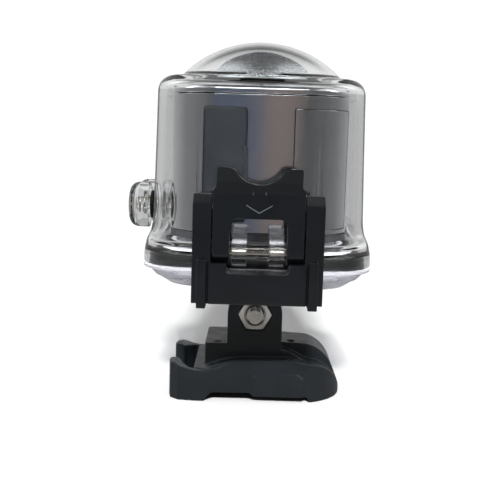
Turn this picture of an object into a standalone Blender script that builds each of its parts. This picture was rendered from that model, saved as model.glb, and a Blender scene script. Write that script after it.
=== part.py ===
"""Panoramic action camera in a clear dive housing, on a quick-release buckle.

Millimetre values are turned into metres by MM. +Z is up, -Y is the latch side,
and the origin is the middle of the buckle's sole, under the housing's axis.
"""

import math

import bmesh
import bpy
from mathutils import Matrix, Vector

MM = 0.001
GAP = 0.3  # clearance between touching pieces

# Heights of the housing, bottom to top
COVER_BOTTOM = 33.8
DISH = 32.9  # the middle of the cover, below its lip
PARTING = 38.7
FLARE_LOW = 42.6
FLARE_HIGH = 48.5
SHELL_TOP = 86.8
DOME_TOP = 97.4
TOP_FILLET = 3.9

# Half-widths of the housing's rounded-square plan
SHELL_HALF = 27.7
DRAFT = 0.7  # how much narrower the shell is at its top
FLANGE_HALF = 29.6
SHELL_CORNER = 13.0
FLANGE_CORNER = 12.0
WALL = 2.0
SEAL_HALF = 28.2  # outer half-width of the seal in its rebate
DOME_BASE_R = 22.9
DOME_WALL = 1.8

# Camera
CAMERA_HALF = 23.6
CAMERA_CORNER = 12.0
CAMERA_WALL = 1.6
CAMERA_BOTTOM = 45.2
CAMERA_SEAM = 82.0
CAMERA_TOP = 84.4
LENS_BASE_R = 15.6
LENS_TOP = 95.2

# Latch: lever pivot on the shell, bail pivot on the lever
LEVER_PIVOT = (-34.0, 43.6)
BAIL_PIVOT = (-35.6, 54.8)
PIN_R = 1.1
LEVER_HALF = 10.9
WINDOW_HALF = 6.7
BAIL_HALF = 15.7
BAIL_INNER = 11.2
KNUCKLE = (2.75, 6.3)

# Hinge on the far side
HINGE_Y = 33.0
HINGE_Z = 38.75
HINGE_R = 3.0

# Buckle and clamp
BOLT_Z = 23.4
FINGER_R = 7.5
FINGER_NEAR = -10.5
FINGER_FACES = ((-10.5, -4.6), (-1.55, 1.55), (4.6, 7.7))
PRONG_FACES = ((-4.3, -1.85), (1.85, 4.3))
PLATFORM_TOP = 15.2
NOSE_TIP = 24.6
SIDE_TOP = 10.2
BOLT_R = 2.4
NUT_R = 4.62

# Side buttons
BUTTON_Z = 52.8
BUTTON_Y = 9.0
CAP_R = 6.1
CAP_FACE = -34.8

CORNER_STEPS = 6


def clear_scene():
    for obj in list(bpy.data.objects):
        bpy.data.objects.remove(obj, do_unlink=True)


def collection(name, hidden=False):
    made = bpy.data.collections.new(name)
    made.hide_render = hidden
    bpy.context.scene.collection.children.link(made)
    return made


def material(name, colour, roughness, metallic=0.0, alpha=1.0):
    made = bpy.data.materials.new(name)
    made.use_nodes = True
    shader = made.node_tree.nodes["Principled BSDF"]
    shader.inputs["Base Color"].default_value = (*colour, 1.0)
    shader.inputs["Roughness"].default_value = roughness
    shader.inputs["Metallic"].default_value = metallic
    shader.inputs["Alpha"].default_value = alpha
    return made


clear_scene()
PARTS = collection("action_camera")
CUTTERS = collection("cutters", hidden=True)
CLEAR = material("clear_polycarbonate", (0.9, 0.93, 0.95), 0.05, alpha=0.3)
BLACK = material("black_plastic", (0.03, 0.033, 0.036), 0.45)
CHARCOAL = material("charcoal_plastic", (0.09, 0.1, 0.11), 0.6)
RUBBER = material("black_rubber", (0.02, 0.02, 0.022), 0.8)
SILVER = material("silver_aluminium", (0.62, 0.63, 0.65), 0.3, 1.0)
CHROME = material("polished_ring", (0.8, 0.8, 0.82), 0.12, 1.0)
STEEL = material("stainless_steel", (0.6, 0.57, 0.52), 0.3, 1.0)
BRASS = material("brass", (0.7, 0.5, 0.2), 0.35, 1.0)
GLASS = material("lens_glass", (0.1, 0.1, 0.2), 0.02, alpha=0.4)
BOARD = material("circuit_board", (0.02, 0.12, 0.05), 0.5)
CELL = material("battery_wrap", (0.05, 0.07, 0.12), 0.5)
SILICONE = material("silicone", (0.5, 0.5, 0.5), 0.7)


# ---------------------------------------------------------------- outlines

def rounded_square(half, radius, steps=CORNER_STEPS):
    """Points of a square with round corners, anticlockwise; radius == half gives a circle."""
    inset = half - radius
    points = []
    for corner in range(4):
        middle = math.pi / 4 + corner * math.pi / 2
        centre = Vector((math.copysign(inset, math.cos(middle)), math.copysign(inset, math.sin(middle))))
        for step in range(steps + 1):
            angle = corner * math.pi / 2 + step * math.pi / 2 / steps
            points.append((centre.x + radius * math.cos(angle), centre.y + radius * math.sin(angle)))
    return points


def arc(centre, radius, start, end, steps):
    """Points on an arc from start to end, in degrees."""
    angles = [math.radians(start + (end - start) * i / steps) for i in range(steps + 1)]
    return [(centre[0] + radius * math.cos(a), centre[1] + radius * math.sin(a)) for a in angles]


def quarter(start, end, steps, bulge_first=True):
    """Points of a quarter ellipse from start to end, leaving along the first or second axis."""
    points = []
    for i in range(steps + 1):
        a = math.pi / 2 * i / steps
        u, v = (math.sin(a), 1 - math.cos(a)) if bulge_first else (1 - math.cos(a), math.sin(a))
        points.append((start[0] + (end[0] - start[0]) * u, start[1] + (end[1] - start[1]) * v))
    return points


# ---------------------------------------------------------------- solids

def finish(obj, name, skin, parts=True):
    obj.name = name
    obj.data.name = name
    if skin is not None:
        obj.data.materials.clear()
        obj.data.materials.append(skin)
    for owner in list(obj.users_collection):
        owner.objects.unlink(obj)
    (PARTS if parts else CUTTERS).objects.link(obj)
    if not parts:
        obj.hide_render = True
        obj.display_type = "WIRE"
    return obj


def from_bmesh(bm, name, skin, parts=True):
    bmesh.ops.recalc_face_normals(bm, faces=bm.faces)
    mesh = bpy.data.meshes.new(name)
    bm.to_mesh(mesh)
    bm.free()
    obj = bpy.data.objects.new(name, mesh)
    bpy.context.scene.collection.objects.link(obj)
    return finish(obj, name, skin, parts)


def box(name, low, high, skin=None, parts=True):
    bm = bmesh.new()
    bmesh.ops.create_cube(bm, size=1.0)
    size = [(high[i] - low[i]) * MM for i in range(3)]
    middle = [(high[i] + low[i]) / 2 * MM for i in range(3)]
    bmesh.ops.scale(bm, vec=size, verts=bm.verts)
    bmesh.ops.translate(bm, vec=middle, verts=bm.verts)
    return from_bmesh(bm, name, skin, parts)


def rod(name, start, end, radius, skin=None, parts=True, sides=24, end_radius=None):
    """A cylinder, or a cone with end_radius, between two points."""
    a, b = Vector(start) * MM, Vector(end) * MM
    bm = bmesh.new()
    bmesh.ops.create_cone(
        bm, cap_ends=True, segments=sides, radius1=radius * MM,
        radius2=(radius if end_radius is None else end_radius) * MM, depth=(b - a).length,
    )
    turn = (b - a).to_track_quat("Z", "Y").to_matrix().to_4x4()
    bmesh.ops.transform(bm, matrix=Matrix.Translation((a + b) / 2) @ turn, verts=bm.verts)
    return from_bmesh(bm, name, skin, parts)


def prism(name, outline, low, high, axis, skin=None, parts=True):
    """A flat outline with a thickness from low to high along an axis.

    The outline's points are (x, y) for Z, (x, z) for Y and (y, z) for X.
    """
    flat = bpy.data.curves.new(name, "CURVE")
    flat.dimensions = "2D"
    flat.fill_mode = "BOTH"
    flat.extrude = (high - low) / 2 * MM
    spline = flat.splines.new("POLY")
    spline.points.add(len(outline) - 1)
    for point, (u, v) in zip(spline.points, outline):
        point.co = (u * MM, v * MM, 0, 1)
    spline.use_cyclic_u = True
    guide = bpy.data.objects.new(name, flat)
    bpy.context.scene.collection.objects.link(guide)
    bpy.context.view_layer.update()
    bm = bmesh.new()
    bm.from_mesh(guide.evaluated_get(bpy.context.evaluated_depsgraph_get()).to_mesh())
    bpy.data.objects.remove(guide, do_unlink=True)
    bmesh.ops.remove_doubles(bm, verts=bm.verts, dist=1e-6)
    middle = (low + high) / 2 * MM
    place = {
        "Z": Matrix(((1, 0, 0, 0), (0, 1, 0, 0), (0, 0, 1, middle), (0, 0, 0, 1))),
        "Y": Matrix(((1, 0, 0, 0), (0, 0, -1, middle), (0, 1, 0, 0), (0, 0, 0, 1))),
        "X": Matrix(((0, 0, 1, middle), (1, 0, 0, 0), (0, 1, 0, 0), (0, 0, 0, 1))),
    }[axis]
    bmesh.ops.transform(bm, matrix=place, verts=bm.verts)
    return from_bmesh(bm, name, skin, parts)


def loft(name, sections, skin=None, parts=True):
    """A closed skin over sections (height, half-width, corner radius), capped at both ends."""
    bm = bmesh.new()
    rings = []
    for z, half, radius in sections:
        rings.append([bm.verts.new((x * MM, y * MM, z * MM)) for x, y in rounded_square(half, radius)])
    count = len(rings[0])
    for low, high in zip(rings, rings[1:]):
        for i in range(count):
            j = (i + 1) % count
            bm.faces.new((low[i], low[j], high[j], high[i]))
    bm.faces.new(reversed(rings[0]))
    bm.faces.new(rings[-1])
    return from_bmesh(bm, name, skin, parts)


def turned(name, profile, skin=None, parts=True, sides=32, axis_end=None):
    """A profile of (radius, height) points, top to bottom on its outer side, turned about Z."""
    mesh = bpy.data.meshes.new(name)
    points = [(r * MM, 0, z * MM) for r, z in profile]
    edges = [(i, i + 1) for i in range(len(points) - 1)]
    if profile[0][0] > 0:
        edges.append((len(points) - 1, 0))
    mesh.from_pydata(points, edges, [])
    obj = bpy.data.objects.new(name, mesh)
    bpy.context.scene.collection.objects.link(obj)
    screw = obj.modifiers.new("turn", "SCREW")
    screw.steps = screw.render_steps = sides
    screw.use_merge_vertices = True
    screw.merge_threshold = 1e-5
    finish(obj, name, skin, parts)
    if axis_end is not None:
        obj.rotation_euler = axis_end
    return obj


def boolean(obj, other, operation, keep=False):
    """Cuts or joins other into obj at once, so that the result is a plain mesh."""
    modifier = obj.modifiers.new(operation.lower(), "BOOLEAN")
    modifier.operation = operation
    modifier.object = other
    modifier.solver = "EXACT"
    bpy.context.view_layer.update()
    graph = bpy.context.evaluated_depsgraph_get()
    mesh = bpy.data.meshes.new_from_object(obj.evaluated_get(graph))
    obj.modifiers.clear()
    mesh.transform(obj.matrix_basis)
    obj.matrix_basis = Matrix.Identity(4)
    obj.data = mesh
    if not keep:
        bpy.data.objects.remove(other, do_unlink=True)
    return obj


def cut(obj, *cutters):
    for cutter in cutters:
        boolean(obj, cutter, "DIFFERENCE")
    return obj


def join(obj, *others):
    for other in others:
        boolean(obj, other, "UNION")
    return obj


def set_origin(obj, point):
    """Puts the object's origin on a point, here its joint's axis."""
    target = Vector(point) * MM
    bpy.context.view_layer.update()
    graph = bpy.context.evaluated_depsgraph_get()
    mesh = bpy.data.meshes.new_from_object(obj.evaluated_get(graph))
    obj.modifiers.clear()
    mesh.transform(obj.matrix_basis)
    mesh.transform(Matrix.Translation(-target))
    obj.data = mesh
    obj.matrix_basis = Matrix.Translation(target)
    return obj


def cutter(make, *arguments, **options):
    return make("cutter", *arguments, parts=False, **options)


# ---------------------------------------------------------------- buckle

def buckle_side():
    """Side outline of the buckle at its full width: wall tops, nose and arched sole."""
    nose = quarter((14.6, 10.7), (NOSE_TIP, 0.0), 6)
    sole = [(15.5, 0.0), (14.6, 1.5), (0.2, 1.5), (-0.9, 2.4), (-11.0, 2.4), (-12.8, 0.8)]
    heel = [(-13.6, 0.0), (-16.5, 0.0), (-16.5, 8.6)]
    wall_top = [(-13.2, 8.9), (-8.6, 10.8), (-4.0, 11.5), (9.0, 11.6), (12.0, 11.3)]
    return nose + sole + heel + wall_top


def buckle_crown():
    """Side outline of the narrower top: level behind the nose, then rounding down to its tip."""
    back = [(-2.0, 6.0), (-2.0, PLATFORM_TOP), (8.0, PLATFORM_TOP)]
    return back + quarter((13.5, 14.8), (NOSE_TIP - 1.7, 4.0), 7)


def buckle_shoulder():
    """Side outline of the ledge that steps down from the platform beside the fingers."""
    top = [(-2.0, PLATFORM_TOP), (-0.5, PLATFORM_TOP), (3.0, 13.9), (10.2, 13.0), (15.5, 10.2)]
    return [(-2.0, 6.0)] + top + [(15.5, 6.0)]


def buckle_plan():
    """Plan outline of the buckle without its arms: straight sides and a round nose."""
    nose = arc((10.0, 0.0), 15.0, -90, 90, 14)
    return [(x if x < 10 else 10 + (x - 10) * 0.975, y) for x, y in nose] + [(-16.5, 12.2), (-16.5, -12.2)]


def buckle_arm(side):
    """One springy arm, curving out from the side of the buckle and hooked inward at its tip."""
    outer = [(-7.0, 14.9), (-15.0, 15.3), (-20.5, 14.6), (-23.2, 12.4), (-23.9, 9.6)]
    inner = [(-23.2, 7.4), (-20.6, 7.2), (-19.8, 9.6), (-17.6, 12.2 + 0.6), (-7.0, 11.0)]
    outline = [(x, side * y) for x, y in outer + inner]
    if side < 0:
        outline.reverse()
    arm = prism("arm", outline, 0.0, SIDE_TOP, "Z", CHARCOAL)
    dip = cutter(rod, (-14.5, side * 20, 23.0), (-14.5, side * 5, 23.0), 14.6, sides=48)
    return cut(arm, dip)


def finger(near, far, reach_down, name="finger", skin=None):
    """A round-ended lug on the bolt's axis, from the near to the far face along Y."""
    if reach_down:
        root = PLATFORM_TOP - 4
        outline = arc((0, BOLT_Z), FINGER_R, 0, 180, 14) + [(-FINGER_R, root), (FINGER_R, root)]
    else:
        root = COVER_BOTTOM + 1
        outline = arc((0, BOLT_Z), FINGER_R, 180, 360, 14) + [(FINGER_R, root), (-FINGER_R, root)]
    return prism(name, outline, near, far, "Y", skin)


def bolt_hole(low, high):
    return cutter(rod, (0, low, BOLT_Z), (0, high, BOLT_Z), BOLT_R + GAP, sides=24)


def make_buckle():
    body = prism("buckle_body", buckle_side(), -15.2, 15.2, "Y", CHARCOAL)
    boolean(body, cutter(prism, buckle_plan(), -1, 20, "Z"), "INTERSECT")
    platform = box("platform", (-13.6, FINGER_NEAR, 6.0), (0.0, -FINGER_NEAR, PLATFORM_TOP))
    shoulder = prism("shoulder", buckle_shoulder(), FINGER_NEAR, -FINGER_NEAR, "Y")
    crown = prism("crown", buckle_crown(), -6.8, 6.8, "Y")
    rail = box("rail", (-11.0, -8.5, 0.0), (17.0, 8.5, 3.0))
    join(body, platform, shoulder, crown, rail, *[buckle_arm(side) for side in (-1, 1)])
    for side in (-1, 1):
        low, high = sorted((side * 10.8, side * 12.9))
        cut(body, cutter(box, (-11.5, low, 9.6), (11.0, high, 13.0)))
    join(body, *[finger(near, far, True) for near, far in FINGER_FACES])
    cut(body, cutter(prism, hexagon(NUT_R + GAP), -12, -7.1, "Y"), bolt_hole(-12, 12))
    return body


def hexagon(corner):
    """Hexagon on the bolt's axis with a corner to either side."""
    angles = [math.tau * i / 6 for i in range(6)]
    return [(corner * math.cos(a), BOLT_Z + corner * math.sin(a)) for a in angles]


def make_nut():
    nut = prism("clamp_nut", hexagon(NUT_R), -10.9, -7.4, "Y", STEEL)
    return cut(nut, cutter(rod, (0, -12, BOLT_Z), (0, -6, BOLT_Z), BOLT_R + GAP))


def knob_outline():
    points = []
    for i in range(36):
        a = math.tau * i / 36
        r = 7.0 + 0.6 * math.cos(6 * a)
        points.append((r * math.cos(a), BOLT_Z + r * math.sin(a)))
    return points


def make_thumb_screw():
    bolt = rod("thumb_screw_bolt", (0, -14.4, BOLT_Z), (0, 9.8, BOLT_Z), BOLT_R, STEEL)
    knob = prism("thumb_screw_knob", knob_outline(), 8.1, 20.5, "Y", BLACK)
    cut(knob, cutter(rod, (0, 7, BOLT_Z), (0, 10.1, BOLT_Z), BOLT_R + GAP))
    for obj in (bolt, knob):
        set_origin(obj, (0, 0, BOLT_Z))
    return bolt, knob


# ---------------------------------------------------------------- housing

def make_cover():
    """Clear bottom cover: stepped rim, round lower edge, spigot for the seal, two clamp prongs."""
    outside = [
        (DISH, 18.0, 8.0), (DISH, 22.6, 9.6), (DISH + 0.6, 24.1, 10.7), (34.9, 25.9, 11.3),
        (36.3, 27.6, FLANGE_CORNER), (37.4, 28.2, FLANGE_CORNER), (37.6, FLANGE_HALF, FLANGE_CORNER),
        (PARTING - 0.15, FLANGE_HALF, FLANGE_CORNER),
    ]
    spigot = [(PARTING - 0.15, 25.6, 9.6), (41.7, 25.6, 9.6), (41.7, 24.0, 8.0), (36.4, 23.8, 8.0)]
    cover = loft("base_cover", outside + spigot, CLEAR)
    join(cover, *[finger(near, far, False) for near, far in PRONG_FACES])
    lip = [(-22.0, COVER_BOTTOM), (-27.6, COVER_BOTTOM), (-29.9, 36.1), (-29.9, 38.2)]
    lip += [(-24.5, 38.2), (-22.0, 36.6)]
    lip.reverse()
    join(cover, prism("lip", lip, -9.0, 9.0, "X"))
    lug = [(27.5, 35.2), (HINGE_Y, HINGE_Z - HINGE_R)] + arc((HINGE_Y, HINGE_Z), HINGE_R, -90, 180, 14)
    lug += [(HINGE_Y - HINGE_R, PARTING - 0.3), (27.5, PARTING - 0.3)]
    join(cover, prism("lug", lug, -8.6, 8.6, "X"))
    cut(cover, bolt_hole(-6, 6), cutter(rod, (-10, HINGE_Y, HINGE_Z), (10, HINGE_Y, HINGE_Z), PIN_R + GAP))
    return cover


def make_gasket():
    low, high = PARTING + 0.15, 41.4
    ring = loft("cover_gasket", [(low, SEAL_HALF, 11.8), (high, SEAL_HALF, 11.8)], RUBBER)
    return cut(ring, cutter(loft, [(low - 1, 25.9, 9.9), (high + 1, 25.9, 9.9)]))


def shell_sections():
    """Sections from the inner apex down to the rim and up the outside to the outer apex."""
    top_half = SHELL_HALF - DRAFT
    plate = top_half - TOP_FILLET
    dome_h = DOME_TOP - SHELL_TOP - 0.2
    sphere = (DOME_BASE_R ** 2 + dome_h ** 2) / (2 * dome_h)
    centre = DOME_TOP - sphere
    span = math.asin(DOME_BASE_R / sphere)

    def dome(radius, reach):
        rings = []
        for i in range(6, 0, -1):
            a = reach * i / 6
            r = radius * math.sin(a)
            rings.append((centre + radius * math.cos(a), r, r))
        return rings + [(centre + radius, 0.6, 0.6)]

    outside = [
        (PARTING + 0.15, FLANGE_HALF, FLANGE_CORNER), (FLARE_LOW, FLANGE_HALF - 0.1, FLANGE_CORNER),
        (44.6, 29.2, 12.3), (46.6, 28.3, 12.8), (FLARE_HIGH, 27.8, SHELL_CORNER),
        (SHELL_TOP - TOP_FILLET, top_half, SHELL_CORNER),
    ]
    for u, v in quarter((0.0, 0.0), (TOP_FILLET, TOP_FILLET), 4, bulge_first=False)[1:]:
        outside.append((SHELL_TOP - TOP_FILLET + v, top_half - u, SHELL_CORNER - u))
    outside += dome(sphere, span)
    inner_span = math.asin((DOME_BASE_R - 1.6) / (sphere - DOME_WALL))
    inside = [
        (PARTING + 0.15, SEAL_HALF + GAP, 12.0), (41.8, SEAL_HALF + GAP, 12.0),
        (42.2, 27.5, 11.6), (44.2, 27.2, 11.4), (46.4, 26.2, 11.2),
        (48.6, 25.75, 11.0), (SHELL_TOP - TOP_FILLET, top_half - WALL, 11.0),
        (SHELL_TOP - 3.0, top_half - WALL - 0.9, 10.2), (SHELL_TOP - WALL, plate - 1.2, 7.8),
    ] + dome(sphere - DOME_WALL, inner_span)
    return list(reversed(inside)) + outside


def make_shell():
    """Clear upper housing in one moulding with its dome, latch knuckles and hinge lugs."""
    shell = loft("housing_shell", shell_sections(), CLEAR)
    y, z = LEVER_PIVOT
    latch = [(-27.0, 49.0), (-29.6, 49.0)] + arc((y, z), 3.0, 105, 250, 10)
    latch += [(-28.8, 39.3), (-28.8, 41.9), (-27.8, 42.4)]
    for side in (-1, 1):
        low, high = sorted((side * KNUCKLE[0], side * KNUCKLE[1]))
        join(shell, prism("knuckle", latch, low, high, "X"))
    lug = [(27.8, 45.5), (27.8, 42.4), (28.8, 41.9), (28.8, PARTING + 0.3)]
    lug.append((HINGE_Y - HINGE_R, PARTING + 0.3))
    lug += arc((HINGE_Y, HINGE_Z), HINGE_R, 180, 400, 14) + [(28.6, 46.0)]
    for side in (-1, 1):
        low, high = sorted((side * 8.9, side * 13.5))
        join(shell, prism("lug", lug, low, high, "X"))
    cut(shell, cutter(rod, (-8, y, z), (8, y, z), PIN_R + GAP))
    cut(shell, cutter(rod, (-15, HINGE_Y, HINGE_Z), (15, HINGE_Y, HINGE_Z), PIN_R + GAP))
    for side in (-1, 1):
        y = side * BUTTON_Y
        cut(shell, cutter(rod, (-29, y, BUTTON_Z), (-24, y, BUTTON_Z), 1.7, sides=20))
    return set_origin(shell, (0, HINGE_Y, HINGE_Z))


def make_pins():
    hinge = rod("hinge_pin", (-13.4, HINGE_Y, HINGE_Z), (13.4, HINGE_Y, HINGE_Z), PIN_R, STEEL, sides=20)
    y, z = LEVER_PIVOT
    latch = rod("latch_pin", (-10.2, y, z), (10.2, y, z), PIN_R, STEEL, sides=20)
    pins = [hinge, latch]
    y, z = BAIL_PIVOT
    for side, word in ((-1, "left"), (1, "right")):
        pins.append(rod("bail_pin_" + word, (side * 9.2, y, z), (side * 15.4, y, z), PIN_R, STEEL, sides=20))
    return pins


# ---------------------------------------------------------------- latch

def make_lever():
    """Middle piece of the latch: thumb lever with a window over the shell's knuckles."""
    y, z = LEVER_PIVOT
    near = -39.2
    outline = [(near, 43.2), (near, 58.0), (near - 0.4, 61.0), (near - 1.4, 64.2), (near + 0.2, 64.2)]
    outline += [(-36.6, 62.0), (-35.2, 58.6), (-33.6, 57.0), (-33.6, 52.6), (-34.8, 50.6), (-34.8, 47.6)]
    outline += arc((y, z), 2.8, 60, -120, 8) + [(near + 1.4, 41.9)]
    outline.reverse()
    lever = prism("latch_lever", outline, -LEVER_HALF, LEVER_HALF, "X", BLACK)
    cut(lever, cutter(box, (-WINDOW_HALF, -45, 38), (WINDOW_HALF, -28, 52.2)))
    scoop = [(-7.2, 66.0)] + arc((0.0, 66.6), 6.4, 200, 340, 12) + [(7.2, 66.0)]
    cut(lever, cutter(prism, scoop, -45, -30, "Y"))
    for side in (-1, 1):
        low, high = sorted((side * 10.1, side * 12))
        cut(lever, cutter(box, (low, -45, 59.4), (high, -28, 66)))
        y1, z1 = BAIL_PIVOT
        cut(lever, cutter(rod, (side * 8.9, y1, z1), (side * 12, y1, z1), PIN_R + GAP, sides=20))
        cut(lever, cutter(rod, (side * 5.5, y, z), (side * 10.5, y, z), PIN_R + GAP, sides=20))
    return set_origin(lever, (0, y, z))


def make_bail():
    """Outer piece of the latch: two arms and a bar whose toe hooks under the cover's lip."""
    near, back = -39.4, -31.4
    arm = [(-38.7, 31.6), (-32.8, 31.6), (-32.8, 56.4), (-33.6, 57.8), (-36.0, 57.8), (-38.7, 55.6)]
    bar = [(near, 32.0), (near + 0.4, 31.6), (-27.95, 31.6), (-27.95, 33.5), (-30.4, 35.95)]
    bar += [(back, 36.3), (back, 40.3), (-35.0, 40.3), (-37.0, 41.5), (near + 0.9, 41.5), (near, 40.9)]
    bail = prism("latch_bail", bar, -BAIL_INNER - 0.5, BAIL_INNER + 0.5, "X", BLACK)
    for side in (-1, 1):
        low, high = sorted((side * BAIL_INNER, side * BAIL_HALF))
        join(bail, prism("arm", arm, low, high, "X"))
        rib_low, rib_high = sorted((side * 12.2, side * 14.4))
        rib = [(-40.0, 31.0), (-39.6, 30.6), (-34.0, 30.6), (-34.0, 42.6), (-40.0, 42.6)]
        join(bail, prism("rib", rib, rib_low, rib_high, "X"))
        toe_low, toe_high = sorted((side * 9.3, side * 12.5))
        cut(bail, cutter(box, (toe_low, back, 30), (toe_high, -25, 38)))
        y, z = BAIL_PIVOT
        cut(bail, cutter(rod, (side * 10, y, z), (side * 17, y, z), PIN_R + GAP, sides=20))
    recess = [(-7.6, 43.0), (-7.6, 40.4), (-6.2, 39.0), (6.2, 39.0), (7.6, 40.4), (7.6, 43.0)]
    cut(bail, cutter(prism, recess, -45, -25, "Y"))
    y, z = BAIL_PIVOT
    return set_origin(bail, (0, y, z))


# ---------------------------------------------------------------- buttons

def make_button(side, word):
    """A housing button: clear cap and stem, spring, seal and clip, and the camera's own key."""
    y, z = side * BUTTON_Y, BUTTON_Z
    along_x = (0, math.radians(-90), 0)
    cap = turned(word + "_button", [
        (0.0, 34.8), (3.0, 34.6), (5.2, 34.0), (CAP_R, 33.0), (CAP_R, 29.3), (CAP_R - 1.0, 29.3),
        (CAP_R - 1.0, 33.0), (1.25, 33.4), (1.25, 24.4), (0.0, 24.4),
    ], CLEAR, sides=20, axis_end=along_x)
    seal = turned(word + "_button_seal", [(3.8, 29.0), (3.8, 28.05), (1.7, 28.05), (1.7, 29.0)],
                  RUBBER, sides=20, axis_end=along_x)
    clip = turned(word + "_button_clip", [(2.6, 25.35), (2.6, 24.95), (1.5, 24.95), (1.5, 25.35)],
                  STEEL, sides=16, axis_end=along_x)
    key = turned(word + "_key", [
        (0.0, 24.0), (2.0, 24.0), (2.2, 23.8), (2.2, 21.7), (2.9, 21.7), (2.9, 20.8), (0.0, 20.8),
    ], SILVER, sides=16, axis_end=along_x)
    for obj in (cap, seal, clip, key):
        obj.location = (0, y * MM, z * MM)
    spring = make_spring(word + "_button_spring", y, z)
    set_origin(cap, (CAP_FACE, y, z))
    set_origin(key, (-24.0, y, z))
    return cap, seal, clip, key, spring


def make_spring(name, y, z, turns=3, per_turn=8):
    """A round-wire coil around the stem, between the seal and the cap's inner face."""
    wire = bpy.data.curves.new(name, "CURVE")
    wire.dimensions = "3D"
    wire.bevel_depth = 0.2 * MM
    wire.bevel_resolution = 1
    wire.use_fill_caps = True
    spline = wire.splines.new("POLY")
    count = int(turns * per_turn)
    spline.points.add(count)
    start, end = -29.35, -33.05
    for i, point in enumerate(spline.points):
        a = math.tau * i / per_turn
        x = start + (end - start) * i / count
        point.co = (x * MM, (y + 2.0 * math.cos(a)) * MM, (z + 2.0 * math.sin(a)) * MM, 1)
    coil = bpy.data.objects.new(name, wire)
    bpy.context.scene.collection.objects.link(coil)
    bpy.context.view_layer.update()
    mesh = bpy.data.meshes.new_from_object(coil.evaluated_get(bpy.context.evaluated_depsgraph_get()))
    bpy.data.objects.remove(coil, do_unlink=True)
    bm = bmesh.new()
    bm.from_mesh(mesh)
    bmesh.ops.remove_doubles(bm, verts=bm.verts, dist=1e-7)
    return from_bmesh(bm, name, STEEL)


# ---------------------------------------------------------------- camera

def camera_tube(low, high, inset=0.0, name="tube", skin=None, parts=True):
    half, radius = CAMERA_HALF - inset, CAMERA_CORNER - inset
    return loft(name, [(low, half, radius), (high, half, radius)], skin, parts)


DOORS = {
    # name: (low x, high x, low z, high z)
    "port_door": (-14.3, -3.5, 50.0, 78.8),
    "battery_door": (8.5, 22.4, 48.4, 78.7),
}


def make_case():
    """Silver body: a rounded-square tube with two door openings, key holes and screw bosses."""
    low, high = CAMERA_BOTTOM + 2.1, CAMERA_SEAM
    case = camera_tube(low, high, name="camera_case", skin=SILVER)
    cut(case, camera_tube(low - 1, high + 1, CAMERA_WALL, parts=False))
    doors = []
    for name, (x0, x1, z0, z1) in DOORS.items():
        door = camera_tube(z0, z1, name=name, skin=RUBBER if name == "port_door" else SILVER)
        cut(door, camera_tube(z0 - 1, z1 + 1, CAMERA_WALL, parts=False))
        boolean(door, cutter(box, (x0, -26, z0), (x1, -12, z1)), "INTERSECT")
        cut(case, cutter(box, (x0 - GAP, -26, z0 - GAP), (x1 + GAP, -12 + GAP, z1 + GAP)))
        doors.append(door)
    for x in (-17.2, 17.2):
        for y in (-17.2, 17.2):
            if (x, y) != (17.2, -17.2):
                join(case, rod("boss", (x, y, low), (x, y, low + 7), 3.2, sides=16))
                cut(case, cutter(rod, (x, y, low - 1), (x, y, low + 5.5), 1.0 + GAP, sides=12))
    for side in (-1, 1):
        y = side * BUTTON_Y
        cut(case, cutter(rod, (-26, y, BUTTON_Z), (-21, y, BUTTON_Z), 2.5, sides=20))
    return [case] + doors


def make_camera_ends():
    low = CAMERA_BOTTOM
    base = camera_tube(low, low + 1.8, name="camera_base", skin=BLACK)
    cut(base, cutter(rod, (0, 0, low - 1), (0, 0, low + 3), 5.0 + GAP))
    made = [base]
    for count, (x, y) in enumerate(((-17.2, -17.2), (-17.2, 17.2), (17.2, 17.2)), 1):
        cut(base, cutter(rod, (x, y, low - 1), (x, y, low + 3), 1.0 + GAP, sides=12))
        cut(base, cutter(rod, (x, y, low - 1), (x, y, low + 1.1), 1.8 + GAP, sides=16))
        screw = turned("base_screw_%d" % count, [
            (0.0, low + 7.0), (0.9, low + 7.0), (0.9, low + 0.8), (1.8, low + 0.8), (1.8, low + 0.1),
            (0.0, low + 0.1),
        ], STEEL, sides=12)
        screw.location = (x * MM, y * MM, 0)
        made.append(screw)
    sleeve = [(5.0, low + 2.7), (5.0, low + 0.1), (3.1, low + 0.1), (3.1, low + 2.7)]
    bush = turned("tripod_bush", sleeve, BRASS, sides=24)
    top = loft("camera_top", [
        (CAMERA_SEAM + GAP, CAMERA_HALF, CAMERA_CORNER), (CAMERA_TOP - 0.9, CAMERA_HALF, CAMERA_CORNER),
        (CAMERA_TOP, CAMERA_HALF - 1.1, CAMERA_CORNER - 1.1),
    ], SILVER)
    cut(top, cutter(rod, (0, 0, CAMERA_SEAM - 1), (0, 0, CAMERA_TOP + 1), 12.0 + GAP, sides=32))
    return made + [bush, top]


def make_lens():
    base = CAMERA_TOP + GAP
    outer = quarter((6.9, 93.8), (LENS_BASE_R, base + 2.1), 5)
    inner = [(LENS_BASE_R, base), (12.8, base), (12.8, 87.4), (6.6, 91.4), (6.6, 93.8)]
    ring = turned("lens_ring", outer + inner, CHROME, sides=28)
    front = turned("front_lens", [
        (0.0, LENS_TOP), (2.4, LENS_TOP - 0.25), (4.4, LENS_TOP - 0.8), (6.2, LENS_TOP - 1.7),
        (6.2, 91.9), (3.0, 91.2), (0.0, 91.0),
    ], GLASS, sides=24)
    barrel = turned("lens_barrel", [
        (5.6, 90.6), (12.0, 86.4), (12.0, 70.4), (8.0, 70.4),
        (8.0, 80.0), (10.6, 82.0), (10.6, 86.2), (5.6, 89.4),
    ], BLACK, sides=24)
    middle = turned("middle_lens", [
        (0.0, 86.0), (5.0, 85.4), (10.2, 84.0), (10.2, 83.0), (0.0, 82.6),
    ], GLASS, sides=20)
    rear = turned("rear_lens", [
        (0.0, 78.6), (4.0, 78.0), (7.6, 76.6), (7.6, 75.6), (0.0, 74.6),
    ], GLASS, sides=20)
    return ring, front, barrel, middle, rear


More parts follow.
